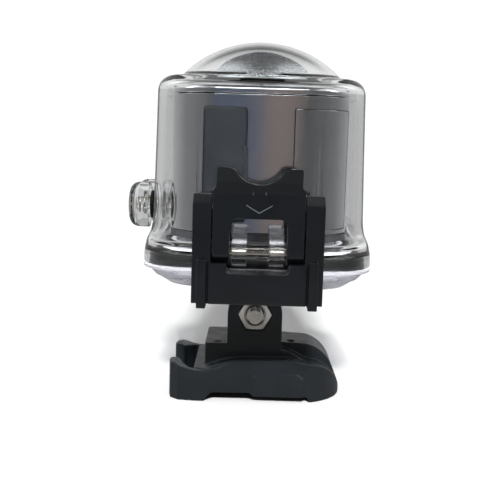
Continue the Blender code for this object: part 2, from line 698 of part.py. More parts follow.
def make_electronics():
    sensor = box("image_sensor", (-7.0, -7.0, 68.6), (7.0, 7.0, 69.8), BOARD)
    board = box("sensor_board", (-12.5, -10.5, 67.0), (12.5, 10.5, 68.3), BOARD)
    main = box("main_board", (-17.0, 12.0, 48.0), (17.0, 13.3, 66.5), BOARD)
    battery = box("battery", (1.5, -14.0, 48.2), (15.0, 10.5, 65.8), CELL)
    card = box("memory_card", (-14.6, -20.8, 55.2), (-3.6, -6.6, 56.2), BLACK)
    usb = box("usb_socket", (-12.6, -21.4, 59.0), (-5.2, -16.0, 61.8), STEEL)
    video = box("video_socket", (-14.0, -21.4, 65.8), (-3.8, -15.0, 69.0), STEEL)
    pad = loft("support_pad", [(36.7, 11.0, 3.0), (CAMERA_BOTTOM - GAP, 10.0, 3.0)], SILICONE)
    return sensor, board, main, battery, card, usb, video, pad


def main():
    make_buckle()
    make_nut()
    make_thumb_screw()
    make_cover()
    make_gasket()
    make_shell()
    make_pins()
    make_lever()
    make_bail()
    make_button(-1, "power")
    make_button(1, "mode")
    make_case()
    make_camera_ends()
    make_lens()
    make_electronics()
    for obj in PARTS.objects:
        obj.data.shade_smooth()
        obj.data.set_sharp_from_angle(angle=math.radians(35))


main()
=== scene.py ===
"""Looks of a panoramic action camera in its clear dive housing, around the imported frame."""

import math

import bmesh
import bpy
from mathutils import Matrix, Vector


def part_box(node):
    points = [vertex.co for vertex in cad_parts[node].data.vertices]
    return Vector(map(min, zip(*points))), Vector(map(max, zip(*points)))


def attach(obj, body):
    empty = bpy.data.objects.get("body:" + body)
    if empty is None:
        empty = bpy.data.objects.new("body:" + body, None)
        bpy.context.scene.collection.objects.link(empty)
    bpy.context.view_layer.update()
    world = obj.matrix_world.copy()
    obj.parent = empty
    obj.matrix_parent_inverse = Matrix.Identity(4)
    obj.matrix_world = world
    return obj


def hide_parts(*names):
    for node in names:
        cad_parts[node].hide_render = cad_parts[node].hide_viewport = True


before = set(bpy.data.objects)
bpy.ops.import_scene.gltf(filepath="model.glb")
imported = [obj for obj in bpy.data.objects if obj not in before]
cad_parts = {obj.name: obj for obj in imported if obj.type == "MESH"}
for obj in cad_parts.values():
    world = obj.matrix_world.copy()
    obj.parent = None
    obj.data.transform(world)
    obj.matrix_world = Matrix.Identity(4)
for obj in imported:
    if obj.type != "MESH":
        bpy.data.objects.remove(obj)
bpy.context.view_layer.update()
MM = 0.001


def span(node):
    """Lowest and highest corner of a CAD node, in millimetres."""
    low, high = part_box(node)
    return low / MM, high / MM


# ---------------------------------------------------------------- sizes from the frame, mm

SHELL_HIGH = span("housing_shell")[1]
SEAL_LOW, SEAL_HIGH = span("cover_gasket")
COVER_LOW = span("base_cover")[0]
CASE_LOW, CASE_HIGH = span("camera_case")
LEVER_LOW, LEVER_HIGH = span("latch_lever")
BAIL_HIGH = span("latch_bail")[1]
PIN_LOW, PIN_HIGH = span("latch_pin")
HINGE_PIN_LOW, HINGE_PIN_HIGH = span("hinge_pin")
BAIL_PIN_LOW, BAIL_PIN_HIGH = span("bail_pin_left")
NUT_LOW, NUT_HIGH = span("clamp_nut")
BOLT_LOW, BOLT_HIGH = span("thumb_screw_bolt")

DOME_TOP = SHELL_HIGH.z
PARTING = SEAL_LOW.z - 0.15
FLANGE_HALF = -COVER_LOW.x
FLANGE_CORNER = 12.0
COVER_BOTTOM = PARTING - 4.9
SHELL_HALF = FLANGE_HALF - 1.9
SHELL_CORNER = 13.0
DRAFT = 0.7
FLARE_HIGH = 48.5
FRONT_LEDGE = 1.2  # height of the ledge where the shell's latch side steps out to its rim
TOP_FILLET = 3.9
SHELL_TOP = DOME_TOP - 10.6
DOME_BASE_R = 22.9
DOME_WALL = 1.8
SEAL_HALF = SEAL_HIGH.x
WALL = 2.0

CAMERA_HALF = CASE_HIGH.x
CAP_TOP = span("camera_top")[1].z
CAMERA_CORNER = 12.0
CAMERA_WALL = 1.6

LEVER_PIVOT = ((PIN_LOW.y + PIN_HIGH.y) / 2, (PIN_LOW.z + PIN_HIGH.z) / 2)
BAIL_PIVOT = ((BAIL_PIN_LOW.y + BAIL_PIN_HIGH.y) / 2, (BAIL_PIN_LOW.z + BAIL_PIN_HIGH.z) / 2)
HINGE_PIVOT = ((HINGE_PIN_LOW.y + HINGE_PIN_HIGH.y) / 2, (HINGE_PIN_LOW.z + HINGE_PIN_HIGH.z) / 2)
BOLT_Z = (BOLT_LOW.z + BOLT_HIGH.z) / 2
BOLT_R = (BOLT_HIGH.z - BOLT_LOW.z) / 2
PIN_R = (PIN_HIGH.z - PIN_LOW.z) / 2
LEVER_HALF = LEVER_HIGH.x
BAIL_HALF = BAIL_HIGH.x
BAIL_INNER = 11.2
KNUCKLE = (2.75, 6.3)
HINGE_LUG_R = 2.97
FINGER_R = 7.5
FINGER_FACES = ((-10.5, -4.6), (-1.55, 1.55), (4.6, 7.7))
PRONG_FACES = ((-4.3, -1.85), (1.85, 4.3))
PLATFORM_TOP = 15.1


# Studio light, from the left (0) over straight ahead (0.5) to the right (1)
TENT_POWER = 1.0
TENT = [(0.0, 0.95), (0.2, 1.1), (0.27, 0.95), (0.36, 0.2), (0.5, 0.12), (0.64, 0.2), (0.73, 0.95),
        (0.8, 1.1), (1.0, 0.95)]
REAR = [(0.0, 0.42), (0.25, 0.6), (0.5, 0.48), (0.75, 0.55), (1.0, 0.34)]
REAR_HIGH = [(0.0, 0.55), (0.3, 0.85), (0.7, 0.9), (1.0, 0.55)]
FRONT = [(0.0, 0.27), (0.15, 0.22), (0.40, 0.13), (0.47, (0.10, 0.12, 0.17)), (0.503, (0.11, 0.13, 0.18)),
         (0.506, (0.25, 0.20, 0.19)), (0.518, (0.28, 0.22, 0.205)), (0.526, (0.26, 0.205, 0.19)),
         (0.532, 0.11), (0.64, 0.12), (0.88, 0.16), (1.0, 0.22)]
LAMP_SIZE = (0.2, 0.3)
LAMP_POWER = 0.35
SUN_POWER = 9.0
SUN_HEIGHT = 38.0
SUN_ANGLE = 8.0
FLOOR_GREY = 0.45
FLOOR_SEEN_INDIRECTLY = 0.16


# ---------------------------------------------------------------- materials

def principled(name):
    """An empty node material: (material, tree, shader, output)."""
    made = bpy.data.materials.new(name)
    made.use_nodes = True
    tree = made.node_tree
    return made, tree, tree.nodes["Principled BSDF"], tree.nodes["Material Output"]


def noise(tree, scale, detail=4.0, stretch=(1, 1, 1)):
    """Noise in the object's own space, in waves per metre, stretched along its axes."""
    where = tree.nodes.new("ShaderNodeTexCoord")
    mapping = tree.nodes.new("ShaderNodeMapping")
    mapping.inputs["Scale"].default_value = stretch
    tree.links.new(where.outputs["Object"], mapping.inputs["Vector"])
    made = tree.nodes.new("ShaderNodeTexNoise")
    made.inputs["Scale"].default_value = scale
    made.inputs["Detail"].default_value = detail
    tree.links.new(mapping.outputs["Vector"], made.inputs["Vector"])
    return made.outputs["Fac"]


def spread(tree, value, low, high):
    """Maps the middle of a noise to low..high."""
    made = tree.nodes.new("ShaderNodeMapRange")
    made.inputs["From Min"].default_value = 0.3
    made.inputs["From Max"].default_value = 0.7
    made.inputs["To Min"].default_value = low
    made.inputs["To Max"].default_value = high
    tree.links.new(value, made.inputs["Value"])
    return made.outputs["Result"]


def tinted(tree, value, dark, light):
    """A colour between dark and light by a value."""
    ramp = tree.nodes.new("ShaderNodeValToRGB")
    ramp.color_ramp.elements[0].position = 0.3
    ramp.color_ramp.elements[1].position = 0.7
    ramp.color_ramp.elements[0].color = (*dark, 1)
    ramp.color_ramp.elements[1].color = (*light, 1)
    tree.links.new(value, ramp.inputs["Fac"])
    return ramp.outputs["Color"]


def bumped(tree, shader, value, depth):
    """Bump of a depth in millimetres from a value."""
    made = tree.nodes.new("ShaderNodeBump")
    made.inputs["Strength"].default_value = 1.0
    made.inputs["Distance"].default_value = depth * MM
    tree.links.new(value, made.inputs["Height"])
    tree.links.new(made.outputs["Normal"], shader.inputs["Normal"])


def plastic(name, dark, light, roughness, grain=2600, depth=0.012, shine=0.5):
    """Moulded plastic: fine spark-eroded grain and slow colour drift."""
    made, tree, shader, _ = principled(name)
    colour = tinted(tree, noise(tree, 90, 3), dark, light)
    tree.links.new(colour, shader.inputs["Base Color"])
    rough = spread(tree, noise(tree, 240, 5), roughness - 0.07, roughness + 0.07)
    tree.links.new(rough, shader.inputs["Roughness"])
    bumped(tree, shader, noise(tree, grain, 2), depth)
    shader.inputs["IOR"].default_value = 1.5
    shader.inputs["Specular IOR Level"].default_value = shine
    return made


def metal(name, dark, light, roughness, stretch=(1, 1, 1), scale=600, depth=0.004, share=1.0):
    """Bare or anodised metal with brushed or turned roughness variation."""
    made, tree, shader, _ = principled(name)
    shader.inputs["Metallic"].default_value = share
    tree.links.new(tinted(tree, noise(tree, 60, 3), dark, light), shader.inputs["Base Color"])
    grain = noise(tree, scale, 4, stretch)
    tree.links.new(spread(tree, grain, roughness * 0.75, roughness * 1.3), shader.inputs["Roughness"])
    bumped(tree, shader, grain, depth)
    return made


def clear(name, tint, roughness=0.02, ior=1.5):
    """See-through plastic or glass; lamps shine through it, so what is inside stays lit."""
    made, tree, shader, output = principled(name)
    shader.inputs["Base Color"].default_value = (*tint, 1)
    shader.inputs["Transmission Weight"].default_value = 1.0
    shader.inputs["IOR"].default_value = ior
    tree.links.new(spread(tree, noise(tree, 130, 4), 0.0, roughness), shader.inputs["Roughness"])
    bumped(tree, shader, noise(tree, 60, 2), 0.02)
    path = tree.nodes.new("ShaderNodeLightPath")
    through = tree.nodes.new("ShaderNodeBsdfTransparent")
    through.inputs["Color"].default_value = (*tint, 1)
    mix = tree.nodes.new("ShaderNodeMixShader")
    tree.links.new(path.outputs["Is Shadow Ray"], mix.inputs["Fac"])
    tree.links.new(shader.outputs["BSDF"], mix.inputs[1])
    tree.links.new(through.outputs["BSDF"], mix.inputs[2])
    tree.links.new(mix.outputs["Shader"], output.inputs["Surface"])
    return made


CLEAR = clear("clear_polycarbonate", (0.97, 0.98, 0.98), ior=1.38)
BLACK = plastic("latch_black", (0.0018, 0.0024, 0.003), (0.003, 0.0038, 0.0046), 0.34)
CHARCOAL = plastic("buckle_charcoal", (0.0042, 0.0055, 0.0068), (0.0066, 0.0084, 0.010), 0.46, depth=0.02,
                   shine=0.42)
# Painted highlight: the lever's black ridges in a lighter grey, for the light line they catch; the real
# ridges are the same black as the lever
RIDGE_PAINTED_HIGHLIGHT = plastic("latch_ridge_painted_highlight", (0.05, 0.055, 0.06), (0.07, 0.075, 0.08), 0.3)
RUBBER = plastic("black_rubber", (0.0008, 0.001, 0.0012), (0.0015, 0.0018, 0.002), 0.6, grain=1800,
                 depth=0.01, shine=0.2)
DOOR_RUBBER = plastic("door_rubber", (0.0012, 0.0018, 0.0026), (0.002, 0.0028, 0.0036), 0.5, grain=3200,
                      depth=0.01, shine=0.2)
SILICONE = plastic("grey_silicone", (0.30, 0.30, 0.30), (0.36, 0.36, 0.36), 0.6, grain=1500, depth=0.01)
INNER = plastic("inner_black", (0.010, 0.010, 0.011), (0.016, 0.016, 0.018), 0.55)
SILVER = metal("silver_body", (0.60, 0.61, 0.63), (0.68, 0.69, 0.70), 0.085, scale=900, depth=0.0001)
STEEL = metal("stainless_steel", (0.50, 0.47, 0.42), (0.66, 0.63, 0.58), 0.22, stretch=(1, 6, 1), depth=0.006)
NUT_STEEL = metal("nut_steel", (0.50, 0.48, 0.43), (0.64, 0.62, 0.56), 0.34, depth=0.006, share=0.55)
BRASS = metal("brass", (0.60, 0.42, 0.16), (0.74, 0.55, 0.24), 0.3)
LENS = clear("lens_glass", (0.55, 0.60, 0.95), 0.005, 1.6)


def cover_clear():
    """Lighter, slightly milky plastic of the bottom cover, with fine upright draw lines."""
    made = clear("cover_polycarbonate", (0.80, 0.80, 0.84), 0.3)
    tree = made.node_tree
    shader = tree.nodes["Principled BSDF"]
    shader.inputs["Transmission Weight"].default_value = 0.72
    bumped(tree, shader, noise(tree, 700, 2, (1, 1, 0.04)), 0.06)
    return made


COVER = cover_clear()


def ring_metal():
    """Diamond-turned lens ring: fine concentric grooves with a ragged satin sheen."""
    made, tree, shader, _ = principled("polished_ring")
    shader.inputs["Metallic"].default_value = 1.0
    colour = tinted(tree, noise(tree, 80, 3), (0.46, 0.48, 0.50), (0.60, 0.62, 0.63))
    tree.links.new(colour, shader.inputs["Base Color"])
    tree.links.new(spread(tree, noise(tree, 700, 5, (1, 1, 4)), 0.16, 0.34), shader.inputs["Roughness"])
    shader.inputs["Anisotropic"].default_value = 0.85
    tangent = tree.nodes.new("ShaderNodeTangent")
    tangent.direction_type = "RADIAL"
    tangent.axis = "Z"
    tree.links.new(tangent.outputs["Tangent"], shader.inputs["Tangent"])
    bumped(tree, shader, noise(tree, 1400, 4, (1, 1, 6)), 0.01)
    return made


RING = ring_metal()


def board_green():
    """Solder mask with fine tracks."""
    made, tree, shader, _ = principled("circuit_board")
    tracks = noise(tree, 700, 1, (1, 0.15, 1))
    colour = tinted(tree, tracks, (0.006, 0.05, 0.02), (0.012, 0.11, 0.04))
    tree.links.new(colour, shader.inputs["Base Color"])
    tree.links.new(spread(tree, tracks, 0.3, 0.5), shader.inputs["Roughness"])
    bumped(tree, shader, tracks, 0.02)
    return made


BOARD = board_green()
CELL = plastic("battery_wrap", (0.02, 0.04, 0.08), (0.03, 0.06, 0.11), 0.35, grain=300, depth=0.01)

SKINS = {
    "clear_polycarbonate": CLEAR, "latch_black": BLACK, "buckle_charcoal": CHARCOAL, "stainless_steel": STEEL,
    "black_rubber": RUBBER, "grey_silicone": SILICONE, "silver_body": SILVER, "polished_ring": RING,
    "lens_glass": LENS, "inner_black": INNER, "circuit_board": BOARD, "battery_wrap": CELL, "brass": BRASS,
}


# ---------------------------------------------------------------- outlines, mm

def rounded_square(half, radius, steps=14):
    """Points of a square with round corners, anticlockwise; radius == half gives a circle."""
    inset = half - radius
    points = []
    for corner in range(4):
        middle = math.pi / 4 + corner * math.pi / 2
        cx, cy = math.copysign(inset, math.cos(middle)), math.copysign(inset, math.sin(middle))
        for step in range(steps + 1):
            angle = (corner + step / steps) * math.pi / 2
            points.append((cx + radius * math.cos(angle), cy + radius * math.sin(angle)))
    return points


def arc(centre, radius, start, end, steps=16):
    """Points on an arc from start to end, in degrees."""
    angles = [math.radians(start + (end - start) * i / steps) for i in range(steps + 1)]
    return [(centre[0] + radius * math.cos(a), centre[1] + radius * math.sin(a)) for a in angles]


def rounded(corners, radius=0.5, steps=5):
    """A closed outline with its corners rounded; a corner may carry its own radius as a third value."""
    points = []
    count = len(corners)
    for i, corner in enumerate(corners):
        here = Vector(corner[:2])
        want = corner[2] if len(corner) > 2 else radius
        before = Vector(corners[i - 1][:2]) - here
        after = Vector(corners[(i + 1) % count][:2]) - here
        angle = before.angle(after)
        if want <= 0 or angle > math.radians(176):
            points.append(tuple(here))
            continue
        reach = min(want / math.tan(angle / 2), before.length * 0.48, after.length * 0.48)
        start, end = here + before.normalized() * reach, here + after.normalized() * reach
        for step in range(steps + 1):
            t = step / steps
            points.append(tuple(start * (1 - t) ** 2 + here * 2 * t * (1 - t) + end * t * t))
    return points


def smooth(knots, steps=4):
    """A Catmull-Rom curve through knots of any dimension, open at its ends."""
    rows = [Vector(k) for k in knots]
    rows = [rows[0] * 2 - rows[1]] + rows + [rows[-1] * 2 - rows[-2]]
    points = []
    for a, b, c, d in zip(rows, rows[1:], rows[2:], rows[3:]):
        for step in range(steps):
            t = step / steps
            points.append(0.5 * (2 * b + (c - a) * t + (2 * a - 5 * b + 4 * c - d) * t * t
                                 + (3 * b - 3 * c + d - a) * t ** 3))
    return points + [rows[-2]]


# ---------------------------------------------------------------- meshes, mm

def raw(bm, name="tool"):
    """A new object in metres from a mesh in millimetres."""
    bmesh.ops.remove_doubles(bm, verts=bm.verts, dist=1e-4)
    bmesh.ops.recalc_face_normals(bm, faces=bm.faces)
    bmesh.ops.scale(bm, vec=(MM, MM, MM), verts=bm.verts)
    mesh = bpy.data.meshes.new(name)
    bm.to_mesh(mesh)
    bm.free()
    obj = bpy.data.objects.new(name, mesh)
    bpy.context.scene.collection.objects.link(obj)
    return obj


def prism(outline, low, high, axis):
    """A flat outline made solid from low to high; its points are (x, y), (x, z) or (y, z)."""
    turn = {"Z": lambda u, v, w: (u, v, w),
            "Y": lambda u, v, w: (u, w, v),
            "X": lambda u, v, w: (w, u, v)}[axis]
    bm = bmesh.new()
    face = bm.faces.new([bm.verts.new(turn(u, v, low)) for u, v in outline])
    made = bmesh.ops.extrude_face_region(bm, geom=[face])["geom"]
    moved = [v for v in made if isinstance(v, bmesh.types.BMVert)]
    bmesh.ops.translate(bm, vec=Vector(turn(0, 0, high - low)), verts=moved)
    return raw(bm)


def box(low, high, radius=0.0):
    """A block, with its upright edges rounded when a radius is given."""
    corners = [(low[0], low[1]), (high[0], low[1]), (high[0], high[1]), (low[0], high[1])]
    return prism(rounded(corners, radius) if radius else corners, low[2], high[2], "Z")


def rings_to_mesh(rings, caps=True):
    """A skin over rings of equal point counts."""
    bm = bmesh.new()
    rows = [[bm.verts.new(p) for p in ring] for ring in rings]
    count = len(rows[0])
    for low, high in zip(rows, rows[1:]):
        for i in range(count):
            j = (i + 1) % count
            bm.faces.new((low[i], low[j], high[j], high[i]))
    if caps:
        bm.faces.new(rows[0])
        bm.faces.new(rows[-1])
    return raw(bm)


def loft(sections, steps=14):
    """A closed skin over sections (height, half-width, corner radius)."""
    return rings_to_mesh([[(x, y, z) for x, y in rounded_square(half, radius, steps)]
                          for z, half, radius in sections])


def turned(profile, sides=64, axis="Z", centre=(0, 0), closed=False):
    """A profile of (radius, height) turned about an axis through centre; closed joins its ends."""
    turn = {"Z": lambda u, v, w: (u + centre[0], v + centre[1], w),
            "Y": lambda u, v, w: (u + centre[0], w, v + centre[1]),
            "X": lambda u, v, w: (w, u + centre[0], v + centre[1])}[axis]
    rings = []
    for r, w in profile + (profile[:1] if closed else []):
        r = max(r, 0.001)
        rings.append([turn(r * math.cos(math.tau * i / sides), r * math.sin(math.tau * i / sides), w)
                      for i in range(sides)])
    return rings_to_mesh(rings, caps=not closed)


def tube(points, radius, sides=10):
    """A round wire along points, with flat ends."""
    points = [Vector(p) for p in points]
    rings = []
    normal = None
    for i, point in enumerate(points):
        along = (points[min(i + 1, len(points) - 1)] - points[max(i - 1, 0)]).normalized()
        normal = (normal or along.orthogonal()).normalized()
        normal = (normal - along * normal.dot(along)).normalized()
        side = along.cross(normal)
        rings.append([point + (normal * math.cos(a) + side * math.sin(a)) * radius
                      for a in (math.tau * k / sides for k in range(sides))])
    return rings_to_mesh(rings)


def applied(obj):
    """The object's modifiers turned into plain mesh."""
    bpy.context.view_layer.update()
    mesh = bpy.data.meshes.new_from_object(obj.evaluated_get(bpy.context.evaluated_depsgraph_get()))
    obj.modifiers.clear()
    obj.data = mesh
    return obj


def boolean(obj, operation, *others):
    """Cuts, joins or intersects with each tool in turn, and removes the tools."""
    for other in others:
        modifier = obj.modifiers.new(operation, "BOOLEAN")
        modifier.operation = operation
        modifier.object = other
        modifier.solver = "EXACT"
        applied(obj)
        bpy.data.objects.remove(other, do_unlink=True)
    return obj


def cut(obj, *others):
    return boolean(obj, "DIFFERENCE", *others)


def join(obj, *others):
    return boolean(obj, "UNION", *others)


def common(obj, other):
    return boolean(obj, "INTERSECT", other)


def bevel(obj, width, segments=3, angle=30):
    """Rounds edges sharper than an angle."""
    bm = bmesh.new()
    bm.from_mesh(obj.data)
    bmesh.ops.remove_doubles(bm, verts=bm.verts, dist=2e-6)
    bmesh.ops.dissolve_limit(bm, angle_limit=math.radians(0.6), verts=bm.verts, edges=bm.edges)
    bm.to_mesh(obj.data)
    bm.free()
    modifier = obj.modifiers.new("round", "BEVEL")
    modifier.width = width * MM
    modifier.segments = segments
    modifier.limit_method = "ANGLE"
    modifier.angle_limit = math.radians(angle)
    modifier.use_clamp_overlap = False
    modifier.miter_outer = "MITER_ARC"
    return applied(obj)


def melt(obj, voxel, passes, keep=0.35):
    """Voxel-remeshes a joined shape and relaxes it, so its edges turn soft like a moulding's."""
    remesh = obj.modifiers.new("remesh", "REMESH")
    remesh.mode = "VOXEL"
    remesh.voxel_size = voxel * MM
    relax = obj.modifiers.new("relax", "SMOOTH")
    relax.factor = 0.5
    relax.iterations = passes
    thin = obj.modifiers.new("thin", "DECIMATE")
    thin.ratio = keep
    return applied(obj)


def place(obj, name, skin, body, slot, *stands_for, sharp=32):
    """Names a finished piece, gives it its material and puts it on its body."""
    obj.name = name
    obj.data.name = name
    obj.data.materials.clear()
    obj.data.materials.append(skin)
    obj.data.shade_smooth()
    if sharp:
        obj.data.set_sharp_from_angle(angle=math.radians(sharp))
    weighted = obj.modifiers.new("weighted", "WEIGHTED_NORMAL")
    weighted.keep_sharp = True
    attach(obj, body)
    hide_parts(*stands_for)
    return obj


# ---------------------------------------------------------------- housing

def dome_rings(radius, reach, centre, count=14):
    """Sections of a sphere's cap from its rim up to its top."""
    rings = []
    for i in range(count, 0, -1):
        a = reach * i / count
        rings.append((centre + radius * math.cos(a), radius * math.sin(a), radius * math.sin(a)))
    return rings + [(centre + radius, 0.05, 0.05)]


def shell_ring(z, half, radius, ledge, limit):
    """One section of the shell; on the latch side the wall runs straight down to a short ledge."""
    front = limit + max(0.0, half - limit) * min(1.0, max(0.0, (ledge - z) / FRONT_LEDGE))
    squeeze = min(1.0, front / half)
    return [(x, y * squeeze if y < 0 else y, z) for x, y in rounded_square(half, radius)]


def make_shell():
    """Clear upper housing with its dome, latch knuckles, hinge lugs and button holes."""
    top_half = SHELL_HALF - DRAFT
    dome_h = DOME_TOP - SHELL_TOP - 0.2
    sphere = (DOME_BASE_R ** 2 + dome_h ** 2) / (2 * dome_h)
    centre = DOME_TOP - sphere
    outside = [tuple(v) for v in smooth([
        (PARTING + 0.35, FLANGE_HALF - 0.03, FLANGE_CORNER), (40.6, FLANGE_HALF - 0.03, FLANGE_CORNER),
        (42.6, FLANGE_HALF - 0.17, FLANGE_CORNER), (44.6, 29.1, 12.3), (46.6, 28.25, 12.8),
        (FLARE_HIGH, 27.85, SHELL_CORNER), (50.5, 27.66, SHELL_CORNER),
    ], 4)]
    outside = [(PARTING + 0.15, FLANGE_HALF - 0.2, FLANGE_CORNER - 0.2)] + outside
    outside += [(60.0, 27.45, SHELL_CORNER), (72.0, 27.2, SHELL_CORNER)]
    for i in range(9):
        a = math.pi / 2 * i / 8
        inset = TOP_FILLET * (1 - math.cos(a))
        outside.append((SHELL_TOP - TOP_FILLET * (1 - math.sin(a)), top_half - inset, SHELL_CORNER - inset))
    reach = math.asin(DOME_BASE_R / sphere)
    outside += dome_rings(sphere, reach, centre)
    inner_sphere = sphere - DOME_WALL
    inner_reach = math.asin((DOME_BASE_R - 1.9) / inner_sphere)
    inside = [
        (PARTING + 0.15, SEAL_HALF + 0.2, 12.0), (41.7, SEAL_HALF + 0.2, 12.0), (42.0, SEAL_HALF - 0.1, 11.9),
        (42.2, 27.5, 11.6), (43.4, 27.4, 11.5), (43.8, 27.3, 11.45), (44.2, 27.2, 11.4),
        (44.6, 27.05, 11.4), (45.4, 26.75, 11.3), (46.4, 26.25, 11.2), (47.5, 25.95, 11.1),
        (48.6, 25.78, 11.0), (50.0, 25.72, 11.0),
    ]
    inner_fillet = TOP_FILLET - WALL
    for i in range(7):
        a = math.pi / 2 * i / 6
        inset = WALL + inner_fillet * (1 - math.cos(a))
        height = SHELL_TOP - TOP_FILLET + inner_fillet * math.sin(a)
        inside.append((height, top_half - inset, SHELL_CORNER - inset))
    inside += dome_rings(inner_sphere, inner_reach, centre)
    rings = [shell_ring(*section, 44.4, 25.78) for section in reversed(inside)]
    rings += [shell_ring(*section, 43.6, 27.8) for section in outside]
    shell = rings_to_mesh(rings)
    y, z = LEVER_PIVOT
    latch = [(-27.0, 49.0), (-29.4, 49.0)] + arc((y, z), 3.0, 105, 250, 18)
    latch += [(-28.8, 39.3), (-28.8, 41.9), (-27.8, 42.4)]
    for side in (-1, 1):
        low, high = sorted((side * KNUCKLE[0], side * KNUCKLE[1]))
        join(shell, bevel(prism(latch, low, high, "X"), 0.2, 2))
    hy, hz = HINGE_PIVOT
    lug = [(27.8, 45.5), (27.8, 42.4), (28.8, 41.9), (28.8, PARTING + 0.3)]
    lug.append((hy - HINGE_LUG_R, PARTING + 0.3))
    lug += arc((hy, hz), HINGE_LUG_R, 180, 400, 24) + [(28.6, 46.0)]
    for side in (-1, 1):
        low, high = sorted((side * 8.9, side * 13.5))
        join(shell, bevel(prism(lug, low, high, "X"), 0.2, 2))
    for x in (-15.2, 15.2):
        for y in (-25.6, 25.6):
            join(shell, turned([(0.6, 51.0), (0.6, SHELL_TOP - 2.6)], 20, centre=(x, y)))
    cut(shell, turned([(PIN_R + 0.15, -8), (PIN_R + 0.15, 8)], 32, "X", LEVER_PIVOT))
    cut(shell, turned([(PIN_R + 0.15, -15), (PIN_R + 0.15, 15)], 32, "X", HINGE_PIVOT))
    for button in ("power", "mode"):
        cut(shell, turned([(1.7, -29), (1.7, -24)], 24, "X", button_axis(button)))
    place(shell, "clear_shell", CLEAR, "housing", "clear_polycarbonate", "housing_shell", sharp=40)


def button_axis(button):
    """Where a button's axis, which runs along X, passes: (y, z)."""
    low, high = span(button + "_button_seal")
    return (low.y + high.y) / 2, (low.z + high.z) / 2


def finger(near, far, reach_down):
    """A round-ended clamp lug on the bolt's axis."""
    if reach_down:
        root = 11.2
        outline = arc((0, BOLT_Z), FINGER_R, 0, 180, 28) + [(-FINGER_R, root), (FINGER_R, root)]
    else:
        root = COVER_BOTTOM + 1
        outline = arc((0, BOLT_Z), FINGER_R, 180, 360, 28) + [(FINGER_R, root), (-FINGER_R, root)]
    return prism(outline, near, far, "Y")


def make_cover():
    """Clear bottom cover with the seal's spigot, clamp prongs, latch lip and hinge lug."""
    dish = COVER_BOTTOM - 0.9
    outside = [(dish, 18.0, 8.0), (dish, 22.6, 9.6), (dish + 0.15, 23.4, 10.2), (dish + 0.6, 24.1, 10.7)]
    outside += [(34.9, 25.9, 11.3), (35.2, 26.0, 11.4), (35.3, 26.7, 11.6), (36.3, 27.6, 12.0)]
    outside += [(37.2, 28.1, 12.0), (37.5, 28.25, 12.0), (37.6, 28.6, 12.0)]
    outside += [(37.65, FLANGE_HALF - 0.25, 12.0), (37.8, FLANGE_HALF - 0.02, 12.0)]
    outside += [(PARTING - 0.3, FLANGE_HALF - 0.02, 12.0), (PARTING - 0.15, FLANGE_HALF - 0.15, 11.9)]
    spigot = [(PARTING - 0.15, 25.6, 9.6), (41.5, 25.6, 9.6), (41.7, 25.4, 9.4), (41.7, 24.2, 8.2),
              (41.5, 24.0, 8.0), (36.9, 23.8, 8.0), (36.4, 23.2, 7.4)]
    cover = loft(outside + spigot)
    for near, far in PRONG_FACES:
        join(cover, bevel(finger(near, far, False), 0.25, 2))
    lip = [(-22.0, COVER_BOTTOM), (-22.0, 36.6), (-24.5, 38.2), (-29.9, 38.2), (-29.9, 36.1)]
    lip.append((-27.6, COVER_BOTTOM))
    join(cover, bevel(prism(lip, -9.0, 9.0, "X"), 0.15, 2))
    hy, hz = HINGE_PIVOT
    lug = [(27.5, 35.2), (hy, hz - HINGE_LUG_R)] + arc((hy, hz), HINGE_LUG_R, -90, 180, 24)
    lug += [(hy - HINGE_LUG_R, PARTING - 0.3), (27.5, PARTING - 0.3)]
    join(cover, bevel(prism(lug, -8.6, 8.6, "X"), 0.2, 2))
    cut(cover, turned([(BOLT_R + 0.2, -6), (BOLT_R + 0.2, 6)], 32, "Y", (0, BOLT_Z)))
    cut(cover, turned([(PIN_R + 0.15, -10), (PIN_R + 0.15, 10)], 32, "X", HINGE_PIVOT))
    place(cover, "clear_cover", COVER, "cover", "clear_polycarbonate", "base_cover", sharp=40)


def make_gasket():
    """Square-cut rubber seal with rounded lips round the cover's spigot."""
    low, high = PARTING + 0.15, 41.4
    out, corner = SEAL_HALF, 11.8
    rings = [(low + 0.2, 25.9, 9.9), (low, 26.1, 10.1), (low, out - 0.2, corner - 0.2),
             (low + 0.2, out, corner), (low + 1.0, out, corner), (low + 1.35, out - 0.2, corner - 0.2),
             (low + 1.7, out, corner), (high - 0.2, out, corner), (high, out - 0.2, corner - 0.2),
             (high, 26.1, 10.1), (high - 0.2, 25.9, 9.9)]
    rings.append(rings[0])
    points = [[(x, y, z) for x, y in rounded_square(half, radius)] for z, half, radius in rings]
    seal = rings_to_mesh(points, caps=False)
    place(seal, "seal_ring", RUBBER, "cover", "black_rubber", "cover_gasket", sharp=60)


def pin(name, node, body):
    """A steel pin along X with chamfered ends, in its CAD node's place."""
    low, high = span(node)
    r = (high.z - low.z) / 2
    profile = [(r - 0.2, low.x), (r, low.x + 0.2), (r, high.x - 0.2), (r - 0.2, high.x)]
    obj = turned(profile, 32, "X", ((low.y + high.y) / 2, (low.z + high.z) / 2))
    place(obj, name, STEEL, body, "stainless_steel", node)


# ---------------------------------------------------------------- latch

